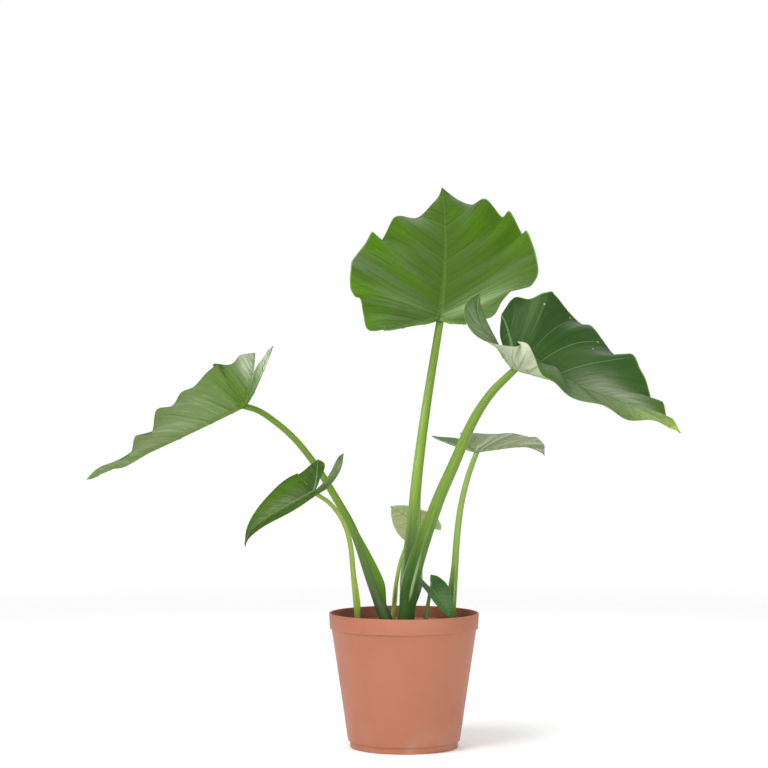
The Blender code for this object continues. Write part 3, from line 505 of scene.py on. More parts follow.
def through(places, values, at):
    """A smooth curve that passes through the values at the places, read at each of the points given."""
    places = np.asarray(places, float)
    values = np.asarray(values, float)
    single = values.ndim == 1
    if single:
        values = values[:, None]
    at = np.clip(np.asarray(at, float), places[0], places[-1])
    i = np.clip(np.searchsorted(places, at, side="right") - 1, 0, len(places) - 2)
    span = (places[i + 1] - places[i])[..., None]
    u = (at - places[i])[..., None] / span
    secant = (values[1:] - values[:-1]) / (places[1:] - places[:-1])[:, None]
    slope = np.vstack([secant[:1], (secant[1:] + secant[:-1]) / 2, secant[-1:]])
    early = values[i] * (2 * u ** 3 - 3 * u ** 2 + 1) + slope[i] * span * (u ** 3 - 2 * u ** 2 + u)
    late = values[i + 1] * (3 * u ** 2 - 2 * u ** 3) + slope[i + 1] * span * (u ** 3 - u ** 2)
    return (early + late)[..., 0] if single else early + late


def smooth_step(low, high, value):
    """From 0 to 1 while the value goes from low to high, slow at both ends."""
    share = np.clip((value - low) / (high - low), 0.0, 1.0)
    return share * share * (3 - 2 * share)


class Blade:
    """A leaf blade's upper face: a flat outline that is folded, arched and waved about its midrib."""

    def __init__(self, key, relief):
        self.key = key
        self.leaf = leaf = LEAVES[key]
        self.relief = relief
        self.length = leaf["length"] * MM
        self.half_width = leaf["half_width"] * MM
        self.size = self.half_width / (GROWN_HALF_WIDTH * MM)
        self.joint = np.array(leaf["joint"]) * MM
        self.rib = leaf["rib"] * MM
        shape = leaf["shape"]
        back = leaf["back"]
        lobe = (shape["lobe"][0], shape["lobe"][1] * back)
        front = [(0.0, *vein) for vein in shape["front"]]
        rear = [(share, 0.0, x, y * back) for share, x, y in shape["back"]]
        veins = np.array([*front, *rear, (1.0, 0.0, *lobe)])
        self.rib_shares, self.midrib_shares, self.ends = veins[:, 0], veins[:, 1], veins[:, 2:]
        self.lobe = np.array(lobe)
        self.first_back = len(front)
        self.last = len(veins) - 1
        sinus = [(share, x, y * back) for share, x, y in shape["sinus"]]
        self.sinus = np.array([(0.0, 0.0, -shape["web"]), *reversed(sinus), (1.0, *lobe)])
        self.line, self.left, self.up = zip(*(self.run_midrib(lift) for lift in leaf["lift"]))

    def run_midrib(self, lift):
        """The midrib from behind the lobes to the tip, and the directions across it and up from it."""
        leaf = self.leaf
        along = np.linspace(*MIDRIB_SPAN, MIDRIB_STEPS)
        front = np.maximum(along, 0)
        behind = np.maximum(-along / LOBE_REACH, 0)
        rear, fore = leaf["sweep"]
        heading = np.radians(leaf["heading"] + rear * np.minimum(behind, 1) + fore * front)
        droop = leaf["arch"] * front ** leaf["arch_power"]
        pitch = np.radians(leaf["pitch"] - droop - lift * np.sqrt(behind))
        roll = np.radians(leaf["roll"] + leaf["twist"] * front)[:, None]
        level = np.stack([-np.sin(heading), np.cos(heading), 0 * heading], -1)
        level_share = np.cos(pitch)
        ahead = np.stack([np.cos(heading) * level_share, np.sin(heading) * level_share, np.sin(pitch)], -1)
        upright = np.cross(ahead, level)
        self.along = along * self.length
        left = np.cos(roll) * level + np.sin(roll) * upright
        up = np.cos(roll) * upright - np.sin(roll) * level
        steps = np.diff(self.along)[:, None] * (ahead[1:] + ahead[:-1]) / 2
        line = np.vstack([np.zeros(3), np.cumsum(steps, 0)])
        return line - self.at(line, 0.0) + self.joint, left, up

    def at(self, table, y):
        """A row of a table along the midrib, at a distance from the joint."""
        return np.stack([np.interp(y, self.along, table[:, i]) for i in range(3)], -1)

    def place(self, flat, rise, side):
        """A flat point, in shares of the half width and length, moved to its folded place."""
        share = flat[..., 1] * np.where(flat[..., 1] < 0, self.leaf["lobes"][side], 1.0)
        x = flat[..., 0] * self.half_width * through(FOLD_PLACES, self.leaf["widths"][side], share)
        y = share * self.length
        fold = np.radians(through(FOLD_PLACES, self.leaf["folds"][side], share))[..., None]
        outward = self.at(self.left[side], y) * (1 if side == LEFT else -1)
        up = self.at(self.up[side], y)
        face = self.at(self.line[side], y) + x[..., None] * (np.cos(fold) * outward + np.sin(fold) * up)
        return face + rise[..., None] * (np.cos(fold) * up - np.sin(fold) * outward)

    def back_rib(self, share):
        """The flat point at a share of the back rib's run from the joint to the lobe's end."""
        x, y = self.lobe
        return np.stack([x * share + RIB_BOW * share * (1 - share), y * share], -1)

    def flat(self, t, v):
        """The flat point on vein t, from 0 at the tip to the last at the lobe, at v from rib to margin."""
        numbers = np.arange(self.last + 1)
        end = through(numbers, self.ends, t)
        start = self.back_rib(np.interp(t, numbers, self.rib_shares))
        start[..., 1] += np.interp(t, numbers, self.midrib_shares)
        bow = start + (end - start) * np.array(VEIN_BOW)
        v = v[..., None]
        return (1 - v) ** 2 * start + 2 * v * (1 - v) * bow + v ** 2 * end

    def wave(self, t, side):
        """How far the margin rises at vein t."""
        waves = [(0.0, 0.0), *self.leaf["waves"][side], (float(self.last), 0.0)]
        return through([number for number, _ in waves], [rise * MM for _, rise in waves], t)

    def fine_rise(self, t, v):
        """The pillowing between veins and the groove along each one, on the upper face."""
        gap = np.abs(t - np.round(t))
        pillow = self.relief.pillow * np.sin(np.pi * np.clip(gap, 0, 0.5)) ** 2 * 4 * v * (1 - v)
        groove = self.relief.groove * np.exp(-(gap / self.relief.vein_share) ** 2) * (1 - v)
        inner = np.clip(t, 0, 1)
        return (pillow - groove) * inner * self.size

    def point(self, t, v, side):
        """The place on the upper face on vein t, at v from rib to margin."""
        rise = self.wave(t, side) * v ** WAVE_POWER + self.fine_rise(t, v)
        return self.place(self.flat(t, v), rise, side)

    def sinus_flat(self, share, v):
        """The strip behind a back rib, between its point at a share of its run and the sinus margin."""
        margin = through(self.sinus[:, 0], self.sinus[:, 1:], share)
        return self.back_rib(share) * (1 - v[..., None]) + margin * v[..., None]

    def sinus_point(self, share, v, side):
        """The place on the upper face in the strip behind a back rib."""
        return self.place(self.sinus_flat(share, v), np.zeros(v.shape), side)

    def run(self, flat):
        """How far along its rib a flat point lies, from 0 at the joint to 1 at the tip or the lobe's end."""
        return np.clip(flat[..., 1] / np.where(flat[..., 1] > 0, 1.0, self.lobe[1]), 0, 1)

    def patches(self, places, t, v, side):
        """The strength of soft patches at the places given."""
        total = np.zeros(np.broadcast(t, v).shape)
        for patch_side, vein, out, wide, deep, strength in places:
            if patch_side == side:
                total = total + strength * np.exp(-((t - vein) / wide) ** 2 - ((v - out) / deep) ** 2)
        return np.clip(total, 0, 1)

    def keel(self, flat, reach):
        """The rib's thickness below the face, from how far along it a point lies and how far beside it."""
        run = self.run(flat)
        height = (self.rib - self.relief.lamina) * (1 - run) ** KEEL_TAPER
        width = self.rib * (1 - (1 - KEEL_END_WIDTH) * run)
        return height * np.sqrt(np.clip(1 - (reach / width) ** 2, 0, 1))

    def thickness(self, t, v, flat, reach):
        """The blade's own thickness: the lamina, thin at the margin, with ridges under the veins."""
        gap = np.abs(t - np.round(t))
        ridge = self.relief.ridge * np.exp(-(gap / self.relief.vein_share) ** 2) * self.size
        ridge = ridge * (1 - v) ** RIDGE_TAPER
        lamina = self.relief.lamina * (1 - (1 - THIN_MARGIN) * smooth_step(THIN_MARGIN_FROM, 1.0, v))
        from_joint = np.hypot(flat[..., 0] * self.half_width, flat[..., 1] * self.length)
        boss = smooth_step(0.0, 1.0, BOSS_REACH - from_joint / (self.leaf["radii"][1] * MM))
        boss = (self.rib - self.relief.lamina) * boss
        return lamina + np.maximum(np.maximum(self.keel(flat, reach), ridge), boss)


class Sheet:
    """An open surface under construction, with the values that each point carries."""

    def __init__(self):
        self.points = []
        self.values = []
        self.faces = []

    def add_grid(self, points, values, shared):
        """Add a grid of points. Where shared holds a point's number, that point is already there."""
        index = shared.copy()
        for i, j in np.ndindex(index.shape):
            if index[i, j] == POINT_BEFORE:
                index[i, j] = index[i, j - 1]
            elif index[i, j] == NEW_POINT:
                index[i, j] = len(self.points)
                self.points.append(points[i, j])
                self.values.append(values[i, j])
        return index

    def bridge(self, index, flip):
        """Lay faces between a grid's points."""
        corners = np.stack([index[:-1, :-1], index[1:, :-1], index[1:, 1:], index[:-1, 1:]], -1)
        for quad in corners.reshape(-1, 4):
            face = [int(corner) for k, corner in enumerate(quad) if corner != quad[k - 1]]
            if len(face) > 2:
                self.faces.append(face[::-1] if flip else face)


def blade_rows(blade):
    """The vein number of each row across a half of the blade."""
    numbers = [whole + step for whole in range(blade.last) for step in ROW_STEPS]
    return np.array([*numbers, float(blade.last)])


def blade_columns(blade, t):
    """For each row, the shares of its columns: close together over the rib, then out to the margin."""
    zero, one = np.zeros(len(t)), np.ones(len(t))
    size = np.array([blade.half_width, blade.length])
    reach = np.linalg.norm((blade.flat(t, one) - blade.flat(t, zero)) * size, axis=-1)
    inner = np.array(RIB_COLUMNS)[None, :] * blade.size ** 0.5 / np.maximum(reach, SHORTEST_VEIN)[:, None]
    inner = np.minimum(inner, np.linspace(0, RIB_COLUMNS_LIMIT, len(RIB_COLUMNS))[None, :])
    outer = np.linspace(0, 1, OUTER_COLUMNS + 1)[1:]
    outer = 1 - (1 - outer) ** OUTER_CROWDING
    rest = inner[:, -1:] + (1 - inner[:, -1:]) * outer[None, :]
    return np.hstack([inner, rest]), reach


def blade_values(blade, t, v, flat, beside, side):
    """What each point carries: its thickness, then the values named in CARRIED."""
    glow = blade.patches(GLOW[blade.key], t, v, side)
    # The painted sheen: grey patches that stand for light glancing off the wax.
    bloom = blade.patches(SHEEN_PATCHES.get(blade.key, ()), t, v, side)
    thickness = blade.thickness(t, v, flat, beside)
    sides = np.full(t.shape, float(side))
    return np.stack([thickness, t, v, beside, blade.run(flat), glow, bloom, sides], -1)


def lay_half(sheet, blade, side, middle):
    """Lay one half of the blade and the strip behind its back rib. middle holds what the halves share."""
    t = blade_rows(blade)
    v, reach = blade_columns(blade, t)
    rows = np.repeat(t[:, None], v.shape[1], 1)
    flat = blade.flat(rows, v)
    beside = v * reach[:, None]
    points = blade.point(rows, v, side)
    values = blade_values(blade, rows, v, flat, beside, side)
    shared = np.full(rows.shape, NEW_POINT)
    on_midrib = t <= blade.first_back
    if side == RIGHT:
        shared[on_midrib, 0] = middle["rib"]
    shared[[0, -1], 1:] = POINT_BEFORE
    index = sheet.add_grid(points, values, shared)
    if side == LEFT:
        middle["rib"] = index[on_midrib, 0]
    sheet.bridge(index, side == LEFT)
    behind = t >= blade.first_back
    lay_strip(sheet, blade, side, t[behind], index[behind, 0], middle)


def lay_strip(sheet, blade, side, t, rib_index, middle):
    """Lay the strip between one back rib and the sinus margin. The halves share its edge at the joint."""
    shares = np.interp(t, np.arange(blade.last + 1), blade.rib_shares)
    v = np.linspace(0, 1, STRIP_COLUMNS) ** STRIP_CROWDING
    run, across = np.meshgrid(shares, v, indexing="ij")
    flat = blade.sinus_flat(run, across)
    size = np.array([blade.half_width, blade.length])
    beside = np.linalg.norm((flat - flat[:, :1]) * size, axis=-1)
    number = np.repeat(t[:, None], len(v), 1)
    values = blade_values(blade, number, across, flat, beside, side)
    shared = np.full(run.shape, NEW_POINT)
    shared[:, 0] = rib_index
    shared[-1, 1:] = POINT_BEFORE
    if side == RIGHT:
        shared[0, 1:] = middle["web"]
    index = sheet.add_grid(blade.sinus_point(run, across, side), values, shared)
    if side == LEFT:
        middle["web"] = index[0, 1:]
    sheet.bridge(index, side == RIGHT)


def place_object(name, data):
    """An object with its data, in the scene."""
    thing = bpy.data.objects.new(name, data)
    bpy.context.scene.collection.objects.link(thing)
    return thing


def mesh_object(name, points, faces, materials, edges=()):
    """An object made of points and faces, or of points and edges."""
    mesh = bpy.data.meshes.new(name)
    mesh.from_pydata([tuple(point) for point in points], edges, faces)
    mesh.update()
    for look in materials:
        mesh.materials.append(look)
    return place_object(name, mesh)


def ring_faces(index):
    """Faces between rings of points, each given as a row of point numbers."""
    after = np.roll(index, -1, 1)
    return np.stack([index[:-1], after[:-1], after[1:], index[1:]], -1).reshape(-1, 4).tolist()


def set_values(thing, name, values):
    """Let the mesh's points carry a value for the looks."""
    made = thing.data.attributes.new(name, "FLOAT", "POINT")
    made.data.foreach_set("value", np.asarray(values, np.float32))


def make_blade(key, relief):
    """One blade: a fine upper face, thickened downwards, with the veins' places kept on its points."""
    blade = Blade(key, relief)
    sheet = Sheet()
    middle = {}
    for side in (LEFT, RIGHT):
        lay_half(sheet, blade, side, middle)
    low, high = np.array(CAD_BOUNDS)
    points = np.clip(sheet.points, low + np.array(BOX_INSET), high - np.array(BOX_INSET))
    thing = mesh_object(f"leaf_{key}", points, sheet.faces, [upper_look(key), under_look(key)])
    values = np.array(sheet.values)
    for column, name in enumerate(CARRIED):
        set_values(thing, name, values[:, column + 1])
    thickest = float(values[:, 0].max())
    weights = thing.vertex_groups.new(name="thickness")
    for i, share in enumerate(values[:, 0] / thickest):
        weights.add([i], float(share), "REPLACE")
    shell = thing.modifiers.new("thicken", "SOLIDIFY")
    shell.thickness = thickest
    shell.offset = -1.0
    shell.vertex_group = weights.name
    shell.material_offset = 1
    shell.material_offset_rim = 1
    thing.data.shade_smooth()
    return thing


def stalk_line(leaf, blade):
    """The stalk's centre points and directions, upright through the soil and then along its route."""
    x, y, z = (value * MM for value in leaf["route"][0])
    up = blade.at(blade.up[LEFT], 0.0)
    end = blade.joint - up * blade.rib * JOINT_DEPTH
    collar = np.array([x, y, z + COLLAR_ABOVE])
    knots = np.array([collar, *(np.array(point) * MM for point in leaf["route"][1:]), end])
    run = np.concatenate([[0.0], np.cumsum(np.linalg.norm(np.diff(knots, axis=0), axis=1))])
    count = math.ceil(run[-1] / STALK_STEP)
    line = through(run, knots, np.linspace(0, run[-1], count + 1))
    ahead = np.gradient(line, axis=0)
    ahead /= np.linalg.norm(ahead, axis=1)[:, None]
    ahead[0] = (0.0, 0.0, 1.0)
    foot = np.array([x, y, z - BURIED])
    return np.vstack([foot, line]), np.vstack([ahead[0], ahead]), up


def sheath_strength(leaf, height):
    """How open the sheath is at a height: nothing in the soil, full above it, nothing at its end."""
    full, end = leaf["sheath"][0] * MM, leaf["sheath"][1] * MM
    return smooth_step(SHEATH_FOOT, full, height) * (1 - smooth_step(full, end, height))


def section_shape(angle):
    """For angles from the open side, the shares of the groove and of the wing."""
    away = np.abs(angle)
    groove = 1 - smooth_step(*GROOVE_EDGE, away)
    wing = smooth_step(*WING_RISE, away) * (1 - smooth_step(*WING_FALL, away))
    return groove, wing


def make_stalk(key, relief):
    """One stalk: round, grooved within its sheath, with a thin wing on each side of the groove."""
    leaf = LEAVES[key]
    blade = Blade(key, relief)
    line, directions, up = stalk_line(leaf, blade)
    base, top = (radius * MM for radius in leaf["radii"])
    share = np.concatenate([[0.0], np.linspace(0, 1, len(line) - 1)])
    radius = top + (base - top) * (1 - share) ** leaf["taper"]
    angle = np.linspace(-180, 180, STALK_SIDES, endpoint=False)
    strength = sheath_strength(leaf, line[:, 2])
    groove, wing = (strength[:, None] * part for part in section_shape(angle))
    wing_width = leaf["sheath"][2] * MM
    opening = math.radians(leaf["sheath"][3])
    facing = np.array([math.cos(opening), math.sin(opening), 0.0])
    towards = facing - directions * (directions @ facing)[:, None]
    towards /= np.linalg.norm(towards, axis=1)[:, None]
    across = np.cross(directions, towards)
    reach = radius[:, None] * (1 - GROOVE_DEPTH * groove) + wing_width * wing
    turns = np.radians(angle)[None, :, None]
    round_about = np.cos(turns) * towards[:, None, :] + np.sin(turns) * across[:, None, :]
    points = line[:, None, :] + reach[:, :, None] * round_about
    last = directions[-1]
    points[-1] += last * ((line[-1] - points[-1]) @ up / (last @ up))[:, None]
    rings, sides = points.shape[:2]
    index = np.arange(rings * sides).reshape(rings, sides)
    faces = ring_faces(index)
    faces.append(index[0, ::-1].tolist())
    faces.append(index[-1].tolist())
    thing = mesh_object(f"petiole_{key}", points.reshape(-1, 3), faces, [stalk_look(key)])
    set_values(thing, "height", np.repeat(share, sides))
    set_values(thing, "around", np.tile(angle / 180, rings))
    set_values(thing, "wing", wing.ravel())
    set_values(thing, "groove", groove.ravel())
    thing.data.shade_smooth()
    return thing


def new_material(name):
    """A material with its node tree and its Principled shader."""
    made = bpy.data.materials.new(name)
    made.use_nodes = True
    return made, made.node_tree, made.node_tree.nodes["Principled BSDF"]


def join(tree, source, target):
    """Link an output to an input."""
    tree.links.new(source, target)


def feed(tree, socket, value):
    """Link a socket to another, or set it."""
    if isinstance(value, bpy.types.NodeSocket):
        tree.links.new(value, socket)
    elif isinstance(value, tuple) and len(value) == 3 and socket.type == "RGBA":
        socket.default_value = (*value, 1.0)
    else:
        socket.default_value = value


def sums(tree, operation, *values):
    """A Math node on sockets or numbers."""
    made = tree.nodes.new("ShaderNodeMath")
    made.operation = operation
    for socket, value in zip(made.inputs, values):
        feed(tree, socket, value)
    return made.outputs[0]


def times(tree, one, two):
    """The product of two sockets or numbers."""
    return sums(tree, "MULTIPLY", one, two)


def ramp(tree, value, low, high, start=0.0, stop=1.0):
    """A smooth step from start to stop while the value goes from low to high."""
    made = tree.nodes.new("ShaderNodeMapRange")
    made.interpolation_type = "SMOOTHSTEP"
    numbers = {"Value": value, "From Min": low, "From Max": high, "To Min": start, "To Max": stop}
    for name, number in numbers.items():
        feed(tree, made.inputs[name], number)
    return made.outputs["Result"]


def paint(tree, colour, *layers):
    """Lay each layer's colour over what is there, as far as its mask and its tone go."""
    for mask, tone, over in layers:
        made = tree.nodes.new("ShaderNodeMix")
        made.data_type = "RGBA"
        feed(tree, made.inputs["Factor"], mask if tone == 1.0 else times(tree, mask, tone))
        feed(tree, made.inputs[MIX_UNDER], colour)
        feed(tree, made.inputs[MIX_OVER], over)
        colour = made.outputs[MIX_RESULT]
    return colour


def shade(colour, share):
    """A colour made darker, or lighter where the share is above one."""
    return tuple(min(share * part, 1.0) for part in colour)


def noise(tree, scale, detail, roughness, place=None):
    """A noise over the object, or over the place given."""
    made = tree.nodes.new("ShaderNodeTexNoise")
    feed(tree, made.inputs["Scale"], scale)
    made.inputs["Detail"].default_value = detail
    made.inputs["Roughness"].default_value = roughness
    join(tree, place or object_place(tree), made.inputs["Vector"])
    return made.outputs["Fac"]


def object_place(tree):
    """The place on the object."""
    return tree.nodes.new("ShaderNodeTexCoord").outputs["Object"]


def carried(tree, name):
    """A value that the mesh's points carry."""
    made = tree.nodes.new("ShaderNodeAttribute")
    made.attribute_name = name
    return made.outputs["Fac"]


def bump(tree, shader, height, strength, distance):
    """Emboss the shader's surface."""
    made = tree.nodes.new("ShaderNodeBump")
    made.inputs["Strength"].default_value = strength
    made.inputs["Distance"].default_value = distance
    join(tree, height, made.inputs["Height"])
    join(tree, made.outputs["Normal"], shader.inputs["Normal"])


def use_group(tree, name, fill, **values):
    """Place a shader node group in a material and give its number inputs their values there.

    The group is built once. Its fill makes the named outputs from the inputs.
    """
    group = bpy.data.node_groups.get(name)
    if group is None:
        group = bpy.data.node_groups.new(name, "ShaderNodeTree")
        for label in values:
            group.interface.new_socket(name=label, in_out="INPUT", socket_type="NodeSocketFloat")
        outputs = fill(group, group.nodes.new("NodeGroupInput").outputs)
        for label in outputs:
            group.interface.new_socket(name=label, in_out="OUTPUT", socket_type="NodeSocketFloat")
        result = group.nodes.new("NodeGroupOutput").inputs
        for label, value in outputs.items():
            join(group, value, result[label])
    made = tree.nodes.new("ShaderNodeGroup")
    made.node_tree = group
    for label, value in values.items():
        feed(tree, made.inputs[label], value)
    return made.outputs


def vein_masks(group, given):
    """Masks of a blade's ribs, side veins, creases, streaks and margin, from what its points carry."""
    number, out, beside, run = (carried(group, label) for label in ("vein", "out", "beside", "run"))
    fade = ramp(group, out, *VEIN_FADE, 1.0, 0.0)

    width = times(group, given["vein width"], ramp(group, out, 0.0, 1.0, 1.0, VEIN_END_WIDTH))
    gap = sums(group, "PINGPONG", number, 0.5)
    veins = ramp(group, sums(group, "DIVIDE", gap, width), *VEIN_EDGE, 1.0, 0.0)
    veins = times(group, times(group, veins, fade), ramp(group, number, *TIP_FADE))

    rib_width = times(group, given["rib width"], ramp(group, run, 0.0, 1.0, 1.0, RIB_END_WIDTH))
    ribs = ramp(group, sums(group, "DIVIDE", beside, rib_width), *RIB_EDGE, 1.0, 0.0)

    place = group.nodes.new("ShaderNodeCombineXYZ")
    join(group, sums(group, "ADD", number, times(group, carried(group, "side"), SIDE_SHIFT)), place.inputs[0])
    join(group, times(group, out, OUTWARD_STRETCH), place.inputs[1])
    place = place.outputs[0]
    wander = times(group, sums(group, "SUBTRACT", noise(group, *WANDER_NOISE, place), 0.5), CREASE_WANDER)
    crease_number = sums(group, "ADD", times(group, number, CREASES_PER_VEIN), wander)
    creases = ramp(group, sums(group, "PINGPONG", crease_number, 0.5), *CREASE_EDGE, 1.0, 0.0)
    present = ramp(group, noise(group, *CREASE_NOISE, place), *CREASE_PRESENT)
    creases = times(group, times(group, creases, present), fade)

    long_way = group.nodes.new("ShaderNodeVectorMath")
    long_way.operation = "MULTIPLY"
    join(group, place, long_way.inputs[0])
    long_way.inputs[1].default_value = STREAK_STRETCH
    streaks = noise(group, given["streaks"], *STREAK_NOISE, long_way.outputs[0])
    streaks = ramp(group, streaks, *STREAK_EDGE)

    cells = group.nodes.new("ShaderNodeTexVoronoi")
    cells.feature = "DISTANCE_TO_EDGE"
    cells.inputs["Scale"].default_value = PEBBLE_SCALE
    join(group, object_place(group), cells.inputs["Vector"])
    height = ramp(group, cells.outputs["Distance"], *PEBBLE_EDGE, 0.0, PEBBLE_HEIGHT)
    masks = {"veins": veins, "ribs": ribs, "creases": creases, "streaks": streaks}
    for label, rise in MARK_HEIGHTS.items():
        height = sums(group, "MULTIPLY_ADD", masks[label], rise, height)
    return {**masks, "margin": ramp(group, out, *MARGIN_EDGE), "height": height}


def mottle_masks(group, given):
    """Slow and fine variation of tone over a blade."""
    mottle = ramp(group, noise(group, given["scale"], *MOTTLE_NOISE), *MOTTLE_EDGE)
    return {"mottle": mottle, "fine": noise(group, *FINE_NOISE)}


def specks(tree, key):
    """A mask for each small pale speck that is listed for the leaf."""
    blade = Blade(key, bpy.context.scene.alocasia_leaves)
    masks = []
    for side, vein, out in SPECKS.get(key, ()):
        distance = tree.nodes.new("ShaderNodeVectorMath")
        distance.operation = "DISTANCE"
        join(tree, object_place(tree), distance.inputs[0])
        distance.inputs[1].default_value = tuple(blade.point(np.array([vein]), np.array([out]), side)[0])
        masks.append(ramp(tree, distance.outputs["Value"], *SPECK_EDGE, 1.0, 0.0))
    return masks


def skin_of(face, key):
    """The marks of one face of a blade: as on all blades, then by its age, then its own."""
    age = "grown" if key in GROWN_LEAVES else "young"
    return {**SKINS[face]["all"], **SKINS[face][age], **OWN_SKINS[face].get(key, {})}


def blade_marks(tree, skin):
    """The masks of a blade's veins, mottle and patches."""
    veins = use_group(tree, "blade veins", vein_masks, **{
        "vein width": skin["vein_width"], "rib width": skin["rib_width"], "streaks": skin["streak_scale"]})
    mottle = use_group(tree, "leaf mottle", mottle_masks, scale=skin["mottle_scale"])
    marks = {**dict(veins.items()), **dict(mottle.items())}
    # Painted sheen, thinned where a streak lies.
    thinned = ramp(tree, marks["streaks"], 0.0, 1.0, 1.0, SHEEN_IN_STREAKS)
    marks["bloom"] = times(tree, carried(tree, "bloom"), thinned)
    marks["glow"] = carried(tree, "glow")
    marks["grain"] = ramp(tree, marks["fine"], *GRAIN_EDGE)
    return marks


def finish_face(tree, shader, colour, marks, skin):
    """Give a blade's face its colour, gloss and relief, and let a little light through it."""
    join(tree, colour, shader.inputs["Base Color"])
    rough = ramp(tree, marks["fine"], *ROUGHNESS_EDGE, *skin["roughness"])
    join(tree, rough, shader.inputs["Roughness"])
    bump(tree, shader, times(tree, marks["height"], skin["emboss"]), skin["relief"], SKIN_RELIEF)
    shader.inputs["IOR"].default_value = skin["ior"]
    shader.inputs["Specular IOR Level"].default_value = skin["specular"]
    through_light = tree.nodes.new("ShaderNodeBsdfTranslucent")
    join(tree, colour, through_light.inputs["Color"])
    mix = tree.nodes.new("ShaderNodeMixShader")
    mix.inputs["Fac"].default_value = skin["translucence"]
    join(tree, shader.outputs[0], mix.inputs[1])
    join(tree, through_light.outputs[0], mix.inputs[2])
    join(tree, mix.outputs[0], tree.nodes["Material Output"].inputs["Surface"])


def upper_look(key):
    """The blade's upper face: green between paler veins, creased, with patches of light shining through and
    of painted sheen.
    """
    colours, skin = LEAF_COLOURS[key], skin_of("upper", key)
    material, tree, shader = new_material(f"leaf_upper_{key}")
    marks = blade_marks(tree, skin)
    base, bright, vein = colours["upper"], colours["bright"], colours["vein"]
    dark = shade(base, skin["dark"])
    share = skin["mottle_light"]
    light = tuple((1 - share) * one + share * two for one, two in zip(base, bright))
    vein_tone = bpy.context.scene.alocasia_leaves.vein_tone
    colour = paint(
        tree, base,
        (marks["mottle"], skin["mottle"], light),
        (marks["glow"], skin["glow"], bright),
        (marks["streaks"], skin["streaks"], dark),
        (marks["grain"], skin["grain"], dark),
        # Painted sheen: light glancing off the waxy face.
        (marks["bloom"], 1.0, colours["bloom"]),
        # Dark lines in the creases between the side veins: partly their own colour, partly painted shade.
        (marks["creases"], skin["creases"], dark),
        (marks["veins"], vein_tone * skin["side_veins"], vein),
        (marks["ribs"], vein_tone, vein),
        (marks["margin"], skin["margin"], colours["rim"]),
        *((speck, 1.0, SPECK_COLOUR) for speck in specks(tree, key)),
    )
    finish_face(tree, shader, colour, marks, skin)
    return material


def under_look(key):
    """The blade's underside: paler and more matt, with pale and dark streaks along the side veins."""
    colours, skin = LEAF_COLOURS[key], skin_of("under", key)
    material, tree, shader = new_material(f"leaf_under_{key}")
    marks = blade_marks(tree, skin)
    base = colours["under"]
    deep = shade(base, skin["dark"])
    vein = STALK_COLOURS[key]["high"] if key in GROWN_LEAVES else colours["vein"]
    colour = paint(
        tree, base,
        (marks["mottle"], 1.0, shade(base, skin["mottle_dark"])),
        (marks["streaks"], skin["streaks"], deep),
        (ramp(tree, marks["streaks"], *PALE_EDGE, 1.0, 0.0), skin["pale"], colours["bloom"]),
        (marks["glow"], skin["glow"], colours["bright"]),
        # Painted sheen: light glancing off the waxy face.
        (marks["bloom"], 1.0, colours["bloom"]),
        (marks["grain"], skin["grain"], colours["upper"]),
        # Dark lines in the creases between the side veins: partly their own colour, partly painted shade.
        (marks["creases"], skin["creases"], deep),
        (marks["veins"], skin["ribs"] * skin["side_veins"], vein),
        (marks["ribs"], skin["ribs"], vein),
        (marks["margin"], skin["margin"], colours["rim"]),
    )
    finish_face(tree, shader, colour, marks, skin)
    return material


def stalk_look(key):
    """The stalk: streaked along its length, paler on the sheath's wings, with painted shade inside the
    groove.
    """
    colours = STALK_COLOURS[key]
    material, tree, shader = new_material(f"stalk_{key}_skin")
    height = carried(tree, "height")
    place = tree.nodes.new("ShaderNodeCombineXYZ")
    join(tree, times(tree, carried(tree, "around"), STALK_STREAKS[0]), place.inputs[0])
    join(tree, times(tree, height, STALK_STREAKS[1]), place.inputs[1])
    streak = ramp(tree, noise(tree, *STALK_STREAK_NOISE, place.outputs[0]), *STALK_STREAK_EDGE)
    wing = ramp(tree, carried(tree, "wing"), *OWN_WING_EDGES.get(key, WING_EDGE))
    dark = shade(colours["low"], STALK_DARK_AND_SHADE)
    colour = paint(
        tree, colours["low"],
        (ramp(tree, height, *STALK_PALES), 1.0, colours["high"]),
        (streak, STALK_TONES["streak"], dark),
        # Painted shade inside the sheath's groove.
        (carried(tree, "groove"), STALK_TONES["groove"], dark),
        (wing, STALK_TONES["wing"], colours["wing"]),
    )
    join(tree, colour, shader.inputs["Base Color"])
    join(tree, ramp(tree, streak, 0.0, 1.0, *STALK_ROUGHNESS), shader.inputs["Roughness"])
    bump(tree, shader, streak, STALK_RELIEF, SKIN_RELIEF)
    shader.inputs["IOR"].default_value = STALK_IOR
    for name, value in STALK_SUBSURFACE.items():
        shader.inputs[f"Subsurface {name}"].default_value = value
    return material


def scuff_masks(group, given):
    """Handling marks on moulded plastic: fine speckle, soft stains and a dusty band."""
    stain = ramp(group, noise(group, given["stain scale"], *STAIN_NOISE), *STAIN_EDGE)
    parts = group.nodes.new("ShaderNodeSeparateXYZ")
    join(group, object_place(group), parts.inputs[0])
    low = ramp(group, parts.outputs["Z"], 0.0, DUST_HEIGHT, 1.0, 0.0)
    return {"speckle": noise(group, *SPECKLE_NOISE), "stain": stain, "dust": times(group, low, stain)}


